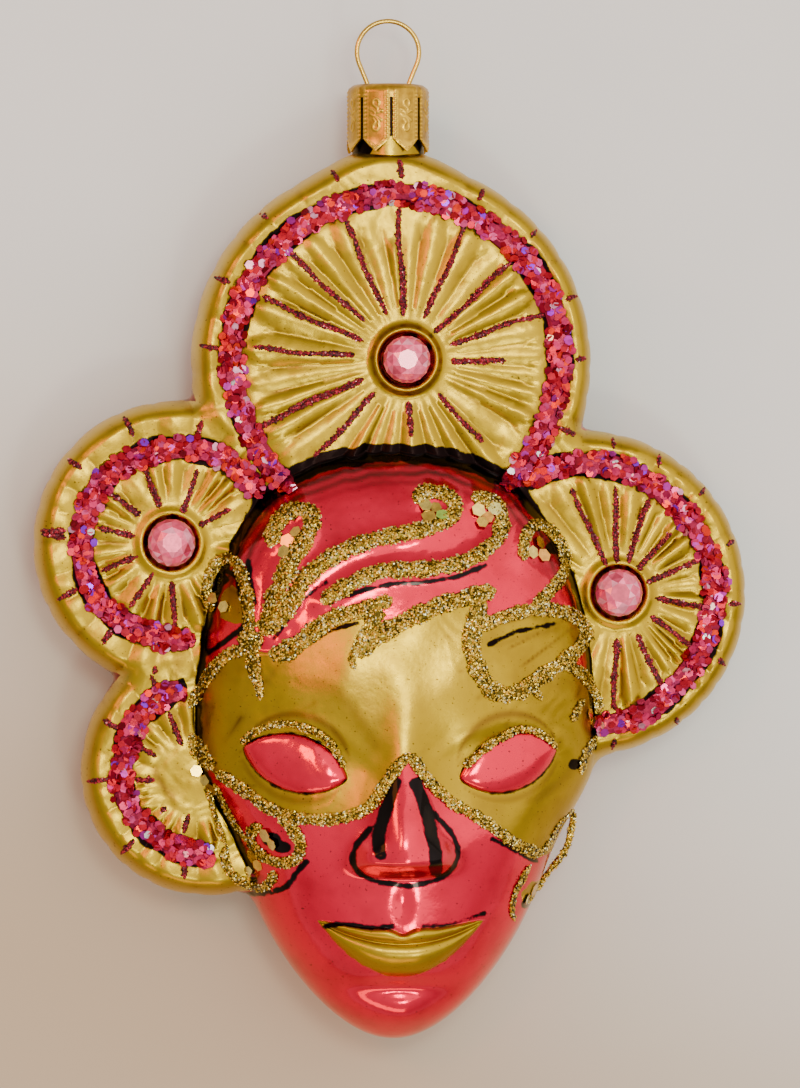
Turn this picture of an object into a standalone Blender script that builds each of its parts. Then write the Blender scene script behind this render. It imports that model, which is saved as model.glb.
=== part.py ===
"""A blown-glass hanging ornament in the shape of a carnival mask with four pleated fans.

It lies on its back: X to its right as seen from the front, Y towards the hanger, Z out of the face.
The mould seam is a level plane, and front and back are heights above and depths below it. Sizes in
metres, plan places measured from the middle of the whole outline, as seen square from the front.
"""

import math
from typing import NamedTuple

import bmesh
import bpy
import numpy as np
from mathutils import Vector
from mathutils.bvhtree import BVHTree
from mathutils.geometry import delaunay_2d_cdt

MM = 0.001
GAP = 0.3 * MM  # between separate pieces

# Blown body
SEAM_HEIGHT = 13 * MM  # of the mould seam above the flat that the back lies on
RIM_WIDTH = 3.0 * MM  # over which the rim rounds from the seam up to the front
FAN_BACK = 6.2 * MM  # depth of the fans' back under the seam
NOTCH_SOFTNESS = 1.1 * MM  # how much the outline fills in where two rounds meet
SHOULDER_Y = 47.8 * MM  # middle of the round that lifts the top fan's rim towards the neck
SHOULDER_RADIUS = 15.0 * MM
BACK_DOME = 14.6 * MM  # depth that the head's back would have without its flat

# Head, an egg with the chin towards -Y
HEAD_X = 0.4 * MM
HEAD_Y = -34.6 * MM
HEAD_HALF_WIDTH = 33.8 * MM
HEAD_HALF_HEIGHT = 49.2 * MM
HEAD_RISE = 21.5 * MM  # of the face's dome above the seam
CROWN_POWER = 2.5  # fuller than an ellipse above the eyes
JAW_TAPER = 0.17  # of the width, lost below the cheeks
JAW_START = 0.30  # of the half height, over which that is lost
CHIN_TAPER = 0.15  # more of the width, lost towards the chin
DOME_POWER = 2.4
HEAD_SLAB = 5.8 * MM  # rise of the rim all round the head

# Pleats, gem seats and the channel that the glitter lies in
PLEAT_RISE = 0.7 * MM
CHANNEL_DEPTH = 0.5 * MM
BAND_WIDTH = 4.0 * MM
BAND_THICKNESS = 1.2 * MM
GEM_DIAMETER = 7.8 * MM
GEM_HEIGHT = 2.5 * MM
GEM_SIDES = 16
SEAT_CLEARANCE = 0.35 * MM  # round the gem
LIP_WIDTH = 1.5 * MM
LIP_RISE = 1.4 * MM

# Neck, cap and hanger, all round an axis in the seam plane
NECK_X = -0.4 * MM
NECK_RADIUS = 5.9 * MM
NECK_WALL = 1.2 * MM
NECK_ROOT = 3.6 * MM  # how far its tube starts inside the rim of the top fan
BORE_DEPTH = 12 * MM
CAP_HEIGHT = 11.2 * MM
CAP_WALL = 0.4 * MM
CAP_CLEARANCE = 0.35 * MM
CAP_LIFT = 1.3 * MM  # of the tabs' points above the top fan's rim
CAP_TAB_COUNT = 8
CAP_SIDES = 4 * CAP_TAB_COUNT
CAP_TAB_POINT = 2.1 * MM
CAP_SLIT_WIDTH = 0.5 * MM
CAP_SLIT_START = 2.3 * MM  # below the top
CAP_SHOULDER = 1.5 * MM
WIRE_DIAMETER = 0.8 * MM
LOOP_RADIUS = 5.13 * MM  # to the middle of the wire
LOOP_LIFT = 5.4 * MM  # of the loop's middle above the cap
LEG_SPACING = 6.9 * MM
LEG_LENGTH = 6.5 * MM  # below the cap's top
LEG_RISE = 0.3 * MM  # over it, where the wire bends outwards

# Gold trails on the head
TRAIL_THICKNESS = 0.7 * MM
SIGHT_LEAN = 5  # degrees to the left of square, from which the trails' places were taken


class Fan(NamedTuple):
    name: str
    x: float
    y: float
    radius: float
    rise: float
    ring_x: float
    ring_y: float
    ring_radius: float
    hub_x: float
    hub_y: float
    pleats: int
    gem: bool
    band_start: float
    band_end: float


FANS = (
    Fan(
        "top", 0.1 * MM, 27.6 * MM, 33.1 * MM, 6.8 * MM, 0.4 * MM, 27.7 * MM, 27.0 * MM,
        2.0 * MM, 27.8 * MM, 32, True, -45, 225,
    ),
    Fan(
        "right", 32.0 * MM, -10.5 * MM, 26.9 * MM, 6.4 * MM, 31.4 * MM, -10.8 * MM, 21.5 * MM,
        37.0 * MM, -10.4 * MM, 28, True, -83, 100,
    ),
    Fan(
        "upper_left", -35.3 * MM, -2.4 * MM, 23.6 * MM, 6.2 * MM, -35.5 * MM, -2.4 * MM, 15.7 * MM,
        -36.5 * MM, -2.2 * MM, 22, True, 66, 277,
    ),
    Fan(
        "lower_left", -30.2 * MM, -39.3 * MM, 20.9 * MM, 5.9 * MM, -30.7 * MM, -39.3 * MM, 13.8 * MM,
        -32.4 * MM, -40.8 * MM, 20, False, 108, 272,
    ),
)


# Plan of the body

def head_gauge(x, y):
    """0 at the head's middle and 1 on its egg-shaped outline."""
    v = (y - HEAD_Y) / HEAD_HALF_HEIGHT
    down = np.maximum(-v, 0)
    taper = 1 - JAW_TAPER * np.tanh((down / JAW_START) ** 2) - CHIN_TAPER * down**3
    u = np.abs(x - HEAD_X) / (HEAD_HALF_WIDTH * taper)
    power = np.where(v > 0, CROWN_POWER, 2)
    return (u**power + np.abs(v) ** power) ** (1 / power)


def head_inset(x, y):
    """Distance inside the head's outline, to first order."""
    step = 0.05 * MM
    gauge = head_gauge(x, y)
    slope_x = (head_gauge(x + step, y) - head_gauge(x - step, y)) / (2 * step)
    slope_y = (head_gauge(x, y + step) - head_gauge(x, y - step)) / (2 * step)
    return (1 - gauge) / np.maximum(np.hypot(slope_x, slope_y), 0.5 / HEAD_HALF_HEIGHT)


def fan_inset(fan, x, y):
    return fan.radius - np.hypot(x - fan.x, y - fan.y)


def shoulder_inset(x, y):
    return SHOULDER_RADIUS - np.hypot(x - NECK_X, y - SHOULDER_Y)


def insets(x, y):
    return np.stack([fan_inset(fan, x, y) for fan in FANS] + [shoulder_inset(x, y), head_inset(x, y)])


def body_inset(x, y):
    """Distance inside the whole outline, with the notches between the rounds softened."""
    parts = insets(x, y) / NOTCH_SOFTNESS
    most = parts.max(axis=0)
    return NOTCH_SOFTNESS * (most + np.log(np.exp(parts - most).sum(axis=0)))


def rim(x, y):
    """0 on the outline, rising as a quarter ellipse to 1 at the rim's width."""
    share = np.clip(body_inset(x, y) / RIM_WIDTH, 0, 1)
    return np.sqrt(1 - (1 - share) ** 2)


def smooth_step(value, low, high):
    share = np.clip((value - low) / (high - low), 0, 1)
    return share * share * (3 - 2 * share)


def hump(value, width):
    return np.exp(-((value / width) ** 2))


# Relief of a fan

def ring_reach(fan, angle):
    """Distance from the hub to the ring of glitter, in a direction."""
    dx = fan.ring_x - fan.hub_x
    dy = fan.ring_y - fan.hub_y
    along = dx * np.cos(angle) + dy * np.sin(angle)
    return along + np.sqrt(along**2 + fan.ring_radius**2 - dx * dx - dy * dy)


SEAT_RADIUS = GEM_DIAMETER / 2 + SEAT_CLEARANCE
LIP_RADIUS = SEAT_RADIUS + LIP_WIDTH


def fan_relief(fan, x, y):
    """Convex pleats with sharp valleys between them, a channel under the ring and the gem's seat."""
    angle = np.arctan2(y - fan.hub_y, x - fan.hub_x)
    from_hub = np.hypot(x - fan.hub_x, y - fan.hub_y)
    reach = ring_reach(fan, angle)
    share = from_hub / reach
    across = np.mod(angle / (2 * math.pi) * fan.pleats, 1)
    pleat = 1 - (2 * across - 1) ** 2
    inside = smooth_step(from_hub, LIP_RADIUS, LIP_RADIUS + 6 * MM) * (1 - smooth_step(share, 0.86, 0.95))
    outside = 0.3 * smooth_step(share, 1.05, 1.12)
    relief = PLEAT_RISE * (pleat - 0.5) * (inside + outside)
    from_ring = np.hypot(x - fan.ring_x, y - fan.ring_y) - fan.ring_radius
    relief = relief - CHANNEL_DEPTH * hump(from_ring, BAND_WIDTH / 2)
    lip = hump(from_hub - SEAT_RADIUS - LIP_WIDTH / 2, LIP_WIDTH / 2)
    return relief + LIP_RISE * lip * (1 if fan.gem else 0.6)


def fan_front(x, y):
    """Height of the fans above the seam, each at its own rise."""
    parts = insets(x, y)
    weights = np.exp((parts - parts.max(axis=0)) / NOTCH_SOFTNESS)
    rises = [fan.rise + fan_relief(fan, x, y) for fan in FANS]
    rises += [np.full_like(x, FANS[0].rise), np.full_like(x, HEAD_SLAB)]
    return rim(x, y) * (weights * np.stack(rises)).sum(axis=0) / weights.sum(axis=0)


# Relief of the face, in shares of the head's half width, half height and rise

EYE_U = 0.515
EYE_V = -0.068
EYE_HALF_LENGTH = 0.255
EYE_HALF_HEIGHT = 0.138
EYE_TILT = math.radians(17)
EYE_POWER = 0.75  # 1 for pointed corners, 0.5 for round ones
NOSE_TOP = 0.02
NOSE_TIP = -0.385
MOUTH_V = -0.664
MOUTH_HALF_WIDTH = 0.40
MOUTH_LIFT = 0.074  # of the corners over the middle
UPPER_LIP = 0.046
LOWER_LIP = 0.112


def almond(u, v, side):
    """1 in the middle of an eye, falling to 0 on its almond outline."""
    du = (u - side * EYE_U) * side
    dv = (v - EYE_V) * HEAD_HALF_HEIGHT / HEAD_HALF_WIDTH
    along = (du * math.cos(EYE_TILT) + dv * math.sin(EYE_TILT)) / EYE_HALF_LENGTH
    across = (dv * math.cos(EYE_TILT) - du * math.sin(EYE_TILT)) / EYE_HALF_HEIGHT
    room = np.maximum(1 - along**2, 1e-3) ** EYE_POWER
    return np.where(np.abs(along) < 1, room - across**2 / room, -1.0)


def eye_relief(u, v):
    relief = 0
    for side in (-1, 1):
        out = u - side * EYE_U
        socket = hump(out, 0.33) * hump(v - EYE_V - 0.015, 0.14)
        inner = hump(u - side * 0.21, 0.12) * hump(v - EYE_V - 0.005, 0.09)
        ball = np.clip(almond(u, v, side), 0, 1) ** 0.55
        lid = hump(out, 0.30) * hump(v - EYE_V - 0.135 + 0.9 * out**2, 0.035)
        relief = relief - 0.085 * socket - 0.03 * inner + 0.085 * ball + 0.018 * lid
    return relief


def nose_relief(u, v):
    """A wedge that widens and rises to a round tip, with a wing at each side."""
    length = smooth_step(v, NOSE_TOP, NOSE_TIP)
    bottom = smooth_step(v, NOSE_TIP - 0.07, NOSE_TIP - 0.005)
    width = 0.085 + 0.07 * length
    bridge = smooth_step(v, NOSE_TOP + 0.20, NOSE_TOP - 0.10)
    ridge = np.exp(-np.abs(u / width) ** 2.4) * (0.055 + 0.225 * length**1.2) * bridge
    wings = sum(hump(u - side * 0.175, 0.075) for side in (-1, 1)) * hump(v - NOSE_TIP - 0.005, 0.06)
    return (ridge + 0.13 * wings) * bottom


def lip(across, thickness):
    """A rounded bead: 0 at both edges of the thickness and 1 in the middle."""
    share = across / np.maximum(thickness, 1e-3)
    return np.clip(4 * share * (1 - share), 0, 1) ** 0.6


def mouth_relief(u, v):
    """Two lips that meet in a line whose corners lift, with a hollow above and a hollow below."""
    share = np.clip(np.abs(u) / MOUTH_HALF_WIDTH, 0, 1)
    line = v - MOUTH_V - MOUTH_LIFT * share**2
    fade = 1 - share**2
    bow = 1 - 0.30 * hump(u, 0.04) + 0.12 * hump(np.abs(u) - 0.09, 0.05)
    upper = lip(line, UPPER_LIP * fade**0.8 * bow) * fade**0.35
    lower = lip(-line, LOWER_LIP * fade) * fade**0.5
    lips = 0.05 * upper + 0.085 * lower
    philtrum = -0.022 * hump(u, 0.045) * hump(v + 0.53, 0.055)
    mound = 0.055 * hump(u, 0.40) * hump(v - MOUTH_V, 0.15)
    hollow = -0.07 * hump(u, 0.21) * hump(v + 0.818, 0.035)
    chin = 0.05 * hump(u, 0.22) * hump(v + 0.92, 0.05)
    return lips + philtrum + mound + hollow + chin


def face_relief(u, v):
    cheeks = sum(hump(u - side * 0.50, 0.20) for side in (-1, 1)) * 0.035 * hump(v + 0.36, 0.15)
    return eye_relief(u, v) + nose_relief(u, v) + mouth_relief(u, v) + cheeks


def head_front(x, y):
    gauge = np.clip(head_gauge(x, y), 0, 1)
    dome = np.sqrt(1 - gauge**DOME_POWER)
    u = (x - HEAD_X) / HEAD_HALF_WIDTH
    v = (y - HEAD_Y) / HEAD_HALF_HEIGHT
    return HEAD_RISE * (dome + face_relief(u, v) * smooth_step(dome, 0.05, 0.5))


def front(x, y):
    """Height of the front above the seam."""
    return np.maximum(fan_front(x, y), head_front(x, y))


def fan_back(x, y):
    return FAN_BACK * rim(x, y)


def head_back(x, y):
    gauge = np.clip(head_gauge(x, y), 0, 1)
    return BACK_DOME * np.sqrt(1 - gauge**DOME_POWER)


def back(x, y):
    """Depth of the back below the seam, cut off by the flat that it lies on."""
    return np.minimum(np.maximum(fan_back(x, y), head_back(x, y)), SEAM_HEIGHT)


# Points that the surfaces are drawn through

RIM_ROWS = (0.09 * RIM_WIDTH, 0.37 * RIM_WIDTH, RIM_WIDTH)  # insets of the rows that round the rim
STAR_X = -5.0 * MM  # from here the whole outline can be seen
STAR_Y = -11.8 * MM


def spaced(points, spacing):
    """A closed line of points, made even."""
    loop = np.vstack([points, points[:1]])
    run = np.concatenate([[0], np.cumsum(np.hypot(*np.diff(loop, axis=0).T))])
    count = max(8, round(run[-1] / spacing))
    at = np.arange(count) * run[-1] / count
    return np.column_stack([np.interp(at, run, loop[:, 0]), np.interp(at, run, loop[:, 1])])


def outline_points(spacing):
    """The outline, found along rays by halving."""
    angle = np.linspace(0, 2 * math.pi, 1440, endpoint=False)
    near = np.zeros_like(angle)
    far = np.full_like(angle, 2 * (HEAD_HALF_HEIGHT + FANS[0].radius))
    for _ in range(40):
        middle = (near + far) / 2
        inside = body_inset(STAR_X + middle * np.cos(angle), STAR_Y + middle * np.sin(angle)) > 0
        near = np.where(inside, middle, near)
        far = np.where(inside, far, middle)
    points = np.column_stack([STAR_X + near * np.cos(angle), STAR_Y + near * np.sin(angle)])
    return spaced(points, spacing)


def head_ring(gauge, spacing):
    """The closed line at a share of the head's outline."""
    angle = np.linspace(0, 2 * math.pi, 720, endpoint=False)
    near = np.zeros_like(angle)
    far = np.full_like(angle, 2 * HEAD_HALF_HEIGHT)
    for _ in range(40):
        middle = (near + far) / 2
        inside = head_gauge(HEAD_X + middle * np.cos(angle), HEAD_Y + middle * np.sin(angle)) < gauge
        near = np.where(inside, middle, near)
        far = np.where(inside, far, middle)
    points = np.column_stack([HEAD_X + near * np.cos(angle), HEAD_Y + near * np.sin(angle)])
    return spaced(points, spacing)


def crease(dome, slab, spacing):
    """Where the head's dome meets the fans, found along rays from the head's middle."""
    angle = np.linspace(0, 2 * math.pi, 720, endpoint=False)
    near = np.full_like(angle, HEAD_HALF_WIDTH / 2)
    far = np.full_like(angle, 2 * HEAD_HALF_HEIGHT)
    for _ in range(40):
        middle = (near + far) / 2
        x = HEAD_X + middle * np.cos(angle)
        y = HEAD_Y + middle * np.sin(angle)
        inside = (dome(x, y) > slab(x, y)) & (head_gauge(x, y) < 1)
        near = np.where(inside, middle, near)
        far = np.where(inside, far, middle)
    edge = np.column_stack([HEAD_X + near * np.cos(angle), HEAD_Y + near * np.sin(angle)])
    edge = spaced(edge, spacing)
    return edge[body_inset(*edge.T) > 1.2 * MM]


def moved(points, inset):
    """The points of the outline, each moved straight in to a distance inside it."""
    points = points.copy()
    step = 0.05 * MM
    for _ in range(12):
        x, y = points.T
        slope_x = (body_inset(x + step, y) - body_inset(x - step, y)) / (2 * step)
        slope_y = (body_inset(x, y + step) - body_inset(x, y - step)) / (2 * step)
        short = (inset - body_inset(x, y)) / (slope_x**2 + slope_y**2)
        points += 0.7 * np.column_stack([short * slope_x, short * slope_y])
    return points


def fan_points(fan):
    """Points on each pleat's ridge and in each valley, from the seat out to the rim."""
    angle = np.arange(2 * fan.pleats) * math.pi / fan.pleats
    reach = ring_reach(fan, angle)
    rows = [np.full_like(angle, LIP_RADIUS), LIP_RADIUS + 0.3 * (reach - LIP_RADIUS)]
    rows += [reach * share for share in (0.60, 0.86, 0.955)]
    rows += [reach + offset for offset in (0, BAND_WIDTH / 2, BAND_WIDTH / 2 + 1.6 * MM)]
    points = [
        np.column_stack([fan.hub_x + row * np.cos(angle), fan.hub_y + row * np.sin(angle)]) for row in rows
    ]
    few = np.arange(0, 2 * math.pi, math.pi / 8)
    for radius in (SEAT_RADIUS, SEAT_RADIUS + LIP_WIDTH / 2):
        points.append(
            np.column_stack([fan.hub_x + radius * np.cos(few), fan.hub_y + radius * np.sin(few)])
        )
    points = np.vstack(points)
    x, y = points.T
    others = [np.hypot(x - other.hub_x, y - other.hub_y) - other.radius for other in FANS if other is not fan]
    own = np.hypot(x - fan.hub_x, y - fan.hub_y) - fan.radius < np.min(others, axis=0)
    on_fan = (fan_front(x, y) > head_front(x, y)) & (body_inset(x, y) > RIM_WIDTH * 0.8)
    return points[own & on_fan]


def lattice(spacing, low, high):
    """A grid of points in staggered rows between two corners."""
    rows = np.arange(low[1], high[1], spacing * math.sqrt(3) / 2)
    columns = np.arange(low[0], high[0], spacing)
    x, y = np.meshgrid(columns, rows)
    x = x + (np.arange(len(rows)) % 2)[:, None] * spacing / 2
    return np.column_stack([x.ravel(), y.ravel()])


def face_points():
    """Lines along the eyes, the nose and the lips."""
    groups = []
    turn = np.linspace(0, 2 * math.pi, 18, endpoint=False)
    for side in (-1, 1):
        for share in (1.0, 0.82, 0.45, 1.25):
            along = np.cos(turn) * share
            across = np.sign(np.sin(turn)) * (1 - np.cos(turn) ** 2) ** EYE_POWER * share
            along = along * EYE_HALF_LENGTH
            across = across * EYE_HALF_HEIGHT
            du = along * math.cos(EYE_TILT) - across * math.sin(EYE_TILT)
            dv = along * math.sin(EYE_TILT) + across * math.cos(EYE_TILT)
            groups.append((side * (EYE_U + du), EYE_V + dv * HEAD_HALF_WIDTH / HEAD_HALF_HEIGHT))
    v = np.linspace(NOSE_TOP + 0.1, NOSE_TIP - 0.075, 13)
    groups += [(np.full_like(v, u), v) for u in (-0.31, -0.24, -0.16, -0.08, 0, 0.08, 0.16, 0.24, 0.31)]
    u = np.linspace(-1, 1, 17) * MOUTH_HALF_WIDTH
    share = np.abs(u) / MOUTH_HALF_WIDTH
    line = MOUTH_V + MOUTH_LIFT * share**2
    upper = UPPER_LIP * (1 - share**2) ** 0.8
    lower = LOWER_LIP * (1 - share**2)
    groups += [(u, line), (u, line + upper), (u, line - lower)]
    groups += [(u, line + 0.5 * upper), (u, line - 0.3 * lower), (u, line - 0.7 * lower)]
    u = np.linspace(-0.3, 0.3, 7)
    groups += [(u, np.full_like(u, v)) for v in (-0.52, -0.818, -0.87, -0.93)]
    u = np.concatenate([group[0] for group in groups])
    v = np.concatenate([group[1] for group in groups])
    return np.column_stack([HEAD_X + u * HEAD_HALF_WIDTH, HEAD_Y + v * HEAD_HALF_HEIGHT])


def thinned(groups):
    """Points of all groups, each left out where one of an earlier group or row is too near."""
    kept = np.empty((0, 2))
    for points, least in groups:
        for point in points:
            if len(kept) == 0 or np.min(np.hypot(*(kept - point).T)) > least:
                kept = np.vstack([kept, point])
    return kept


def drawn(outline, inner, height):
    """Triangles over the plan inside the outline, raised to a height."""
    points = np.vstack([outline, inner])
    flat = [Vector((x, y)) for x, y in points / MM]
    loop = [list(range(len(outline)))]
    corners, _, faces, *_ = delaunay_2d_cdt(flat, [], loop, 1, 1e-6)
    plan = np.array([tuple(corner) for corner in corners]) * MM
    z = np.where(np.arange(len(plan)) < len(outline), 0.0, height(plan[:, 0], plan[:, 1]))
    return np.column_stack([plan, z]), faces


def front_points(outline):
    inner = [(moved(outline, inset), 0.3 * MM) for inset in RIM_ROWS]
    edge = crease(head_front, fan_front, 2.2 * MM)
    outward = edge - (HEAD_X, HEAD_Y)
    outward = outward / np.hypot(*outward.T)[:, None]
    inner += [(edge, 0.8 * MM), (edge + outward * MM, 0.7 * MM)]
    inner.append((face_points(), 0.75 * MM))
    inner += [(fan_points(fan), 0.45 * MM) for fan in FANS]
    for gauge, spacing in ((0.92, 3.2 * MM), (0.84, 4.0 * MM)):
        inner.append((head_ring(gauge, spacing), 1.4 * MM))
    low = (HEAD_X - HEAD_HALF_WIDTH, HEAD_Y - HEAD_HALF_HEIGHT)
    high = (HEAD_X + HEAD_HALF_WIDTH, HEAD_Y + HEAD_HALF_HEIGHT)
    grid = lattice(4.4 * MM, low, high)
    inner.append((grid[head_gauge(*grid.T) < 0.80], 2.6 * MM))
    return inner


def back_points(outline):
    inner = [(moved(outline, inset), 0.3 * MM) for inset in RIM_ROWS]
    edge = crease(head_back, fan_back, 3.2 * MM)
    inner.append((edge, 0.8 * MM))
    flat_gauge = (1 - (SEAM_HEIGHT / BACK_DOME) ** 2) ** (1 / DOME_POWER)
    gauges = (flat_gauge, 0.62, 0.74, 0.84)
    inner += [(head_ring(gauge, 5.0 * MM), 1.5 * MM) for gauge in gauges]
    reach = 3 * HEAD_HALF_HEIGHT
    grid = lattice(9.0 * MM, (-reach, -reach), (reach, reach))
    inside = (body_inset(*grid.T) > RIM_WIDTH) & (head_gauge(*grid.T) > 1)
    inner.append((grid[inside], 4 * MM))
    return inner


# Making objects

def material(name, colour, roughness, metallic):
    made = bpy.data.materials.new(name)
    made.use_nodes = True
    shader = made.node_tree.nodes["Principled BSDF"]
    shader.inputs["Base Color"].default_value = (*colour, 1)
    shader.inputs["Roughness"].default_value = roughness
    shader.inputs["Metallic"].default_value = metallic
    return made


def added(name, mesh, finish, parent):
    thing = bpy.data.objects.new(name, mesh)
    bpy.context.collection.objects.link(thing)
    thing.data.materials.append(finish)
    thing.parent = parent
    return thing


def solid(name, points, faces, finish, parent):
    """An object from corners and faces, turned so that its faces point out."""
    mesh = bpy.data.meshes.new(name)
    mesh.from_pydata([tuple(point) for point in points], [], [tuple(face) for face in faces])
    shape = bmesh.new()
    shape.from_mesh(mesh)
    bmesh.ops.triangulate(shape, faces=[face for face in shape.faces if len(face.verts) > 4])
    bmesh.ops.recalc_face_normals(shape, faces=shape.faces)
    shape.to_mesh(mesh)
    shape.free()
    mesh.shade_smooth()
    mesh.set_sharp_from_angle(angle=math.radians(35))
    return added(name, mesh, finish, parent)


def turned(name, profile, sides, finish, parent):
    """A solid of revolution round Z from (radius, height) pairs, closed at both ends."""
    turn = 2 * math.pi * np.arange(sides) / sides
    points = [(r * math.cos(t), r * math.sin(t), z) for r, z in profile for t in turn]
    faces = [list(range(sides)), [(len(profile) - 1) * sides + k for k in range(sides)][::-1]]
    for row in range(len(profile) - 1):
        for k in range(sides):
            a = row * sides + k
            b = row * sides + (k + 1) % sides
            faces.append((a, b, b + sides, a + sides))
    return solid(name, points, faces, finish, parent)


def cutter_look(thing):
    thing.hide_render = True
    thing.display_type = "WIRE"
    return thing


def boolean(thing, tool, operation):
    step = thing.modifiers.new(tool.name, "BOOLEAN")
    step.operation = operation
    step.solver = "EXACT"
    step.object = tool


def glass_body(finish, parent):
    """Front and back drawn over one outline, with the neck's tube joined on and bored out."""
    outline = outline_points(3.2 * MM)
    seed = [(outline, 0.0)]
    count = len(outline)
    front_plan = thinned(seed + front_points(outline))[count:]
    back_plan = thinned(seed + back_points(outline))[count:]
    top, top_faces = drawn(outline, front_plan, front)
    bottom, bottom_faces = drawn(outline, back_plan, lambda x, y: -back(x, y))
    shift = len(top) - count
    lower = [[corner if corner < count else corner + shift for corner in face][::-1] for face in bottom_faces]
    points = np.vstack([top, bottom[count:]]) + (0, 0, SEAM_HEIGHT)
    body = solid("glass_body", points, list(top_faces) + lower, finish, parent)
    root = FANS[0].y + FANS[0].radius - NECK_ROOT
    tube = neck_tool("neck_tube", NECK_RADIUS, root, neck_top(), finish, parent)
    bore_end = neck_top() - BORE_DEPTH
    bore = neck_tool("neck_bore", NECK_RADIUS - NECK_WALL, bore_end, neck_top() + MM, finish, parent)
    boolean(body, tube, "UNION")
    boolean(body, bore, "DIFFERENCE")
    return body


def cap_top():
    return FANS[0].y + FANS[0].radius + CAP_LIFT + CAP_HEIGHT


def neck_top():
    return cap_top() - CAP_SHOULDER - GAP


def stand_on_neck(thing, along):
    """Turns a piece made round Z to the neck's axis, with its height 0 at a place along Y."""
    thing.rotation_euler = (-math.pi / 2, 0, 0)
    thing.location = (NECK_X, along, SEAM_HEIGHT)
    return thing


def neck_tool(name, radius, start, end, finish, parent):
    tool = turned(name, [(radius, 0), (radius, end - start)], CAP_SIDES, finish, parent)
    return cutter_look(stand_on_neck(tool, start))


def ornament_cap(finish, parent):
    """A stamped cap: round shoulder, eight tabs with pointed ends and two holes for the wire."""
    inner = NECK_RADIUS + CAP_CLEARANCE
    outer = inner + CAP_WALL
    bend = [k * math.pi / 4 for k in range(3)]
    shoulder = CAP_SHOULDER
    outside = [
        (outer - shoulder * (1 - math.cos(t)), CAP_HEIGHT - shoulder * (1 - math.sin(t))) for t in bend
    ]
    small = shoulder - CAP_WALL
    inside = [
        (inner - small * (1 - math.cos(t)), CAP_HEIGHT - CAP_WALL - small * (1 - math.sin(t))) for t in bend
    ]
    cap = turned("cap", [(outer, 0)] + outside, CAP_SIDES, finish, parent)
    hollow = turned("cap_hollow", [(inner, -MM)] + inside, CAP_SIDES, finish, parent)
    stand_on_neck(cap, cap_top() - CAP_HEIGHT)
    boolean(cap, cutter_look(stand_on_neck(hollow, cap_top() - CAP_HEIGHT)), "DIFFERENCE")
    half_tab = math.pi * outer / CAP_TAB_COUNT
    slit = CAP_SLIT_WIDTH / 2
    edge = [
        (-half_tab, -MM), (half_tab, -MM), (half_tab, 0), (slit, CAP_TAB_POINT),
        (slit, CAP_HEIGHT - CAP_SLIT_START), (-slit, CAP_HEIGHT - CAP_SLIT_START),
        (-slit, CAP_TAB_POINT), (-half_tab, 0),
    ]
    for k in range(CAP_TAB_COUNT // 2):
        notch = prism(f"cap_notch_{k}", edge, 2 * outer + 2 * MM, finish, parent)
        stand_on_neck(notch, cap_top() - CAP_HEIGHT)
        notch.rotation_euler = (-math.pi / 2, math.pi * 2 * k / CAP_TAB_COUNT, 0)
        boolean(cap, cutter_look(notch), "DIFFERENCE")
    for side in (-1, 1):
        radius = WIRE_DIAMETER / 2 + GAP
        hole = turned(f"cap_hole_{side}", [(radius, -2 * MM), (radius, 2 * MM)], 12, finish, parent)
        stand_on_neck(hole, cap_top())
        hole.location.x += side * LEG_SPACING / 2
        boolean(cap, cutter_look(hole), "DIFFERENCE")
    return cap


def prism(name, edge, depth, finish, parent):
    """An outline of (across, up) pairs, run through along Y."""
    count = len(edge)
    points = [(u, side * depth / 2, z) for side in (-1, 1) for u, z in edge]
    faces = [list(range(count)), list(range(2 * count - 1, count - 1, -1))]
    faces += [(k, (k + 1) % count, count + (k + 1) % count, count + k) for k in range(count)]
    return solid(name, points, faces, finish, parent)


def hanger_wire(finish, parent):
    """One wire: up through the cap, out in a straight line to the loop, round it and down again."""
    half = LEG_SPACING / 2
    drop = LOOP_LIFT - LEG_RISE
    start = math.atan2(drop, half) - math.acos(LOOP_RADIUS / math.hypot(drop, half))
    turn = np.linspace(-math.pi + start, -2 * math.pi - start, 25)
    middle = cap_top() + LOOP_LIFT
    leg = np.linspace(cap_top() - LEG_LENGTH, cap_top() + LEG_RISE, 4)
    path = [(-half, y) for y in leg]
    path += [(LOOP_RADIUS * math.cos(t), middle + LOOP_RADIUS * math.sin(t)) for t in turn]
    path += [(half, y) for y in leg[::-1]]
    data = bpy.data.curves.new("hanger_wire", "CURVE")
    data.dimensions = "3D"
    data.bevel_depth = WIRE_DIAMETER / 2
    data.bevel_resolution = 1
    data.use_fill_caps = True
    spline = data.splines.new("POLY")
    spline.points.add(len(path) - 1)
    for point, (x, y) in zip(spline.points, path):
        point.co = (x, y, 0, 1)
    wire = added("hanger_wire", data, finish, parent)
    wire.location = (NECK_X, 0, SEAM_HEIGHT)
    return wire


def rhinestone(fan, surface, finish, parent):
    """A cut stone with a flat back: girdle, two rows of facets and a table."""
    radius = GEM_DIAMETER / 2
    profile = [
        (radius, 0), (radius, 0.25 * GEM_HEIGHT), (0.82 * radius, 0.62 * GEM_HEIGHT),
        (0.5 * radius, 0.92 * GEM_HEIGHT), (0.38 * radius, GEM_HEIGHT),
    ]
    gem = turned(f"rhinestone_{fan.name}", profile, GEM_SIDES, finish, parent)
    turn = np.linspace(0, 2 * math.pi, 24, endpoint=False)
    floor = max(
        surface(fan.hub_x + share * radius * math.cos(t), fan.hub_y + share * radius * math.sin(t))
        for t in turn for share in (0.05, 0.35, 0.7, 1.03)
    )
    gem.location = (fan.hub_x, fan.hub_y, floor + GAP)
    return gem


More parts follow.
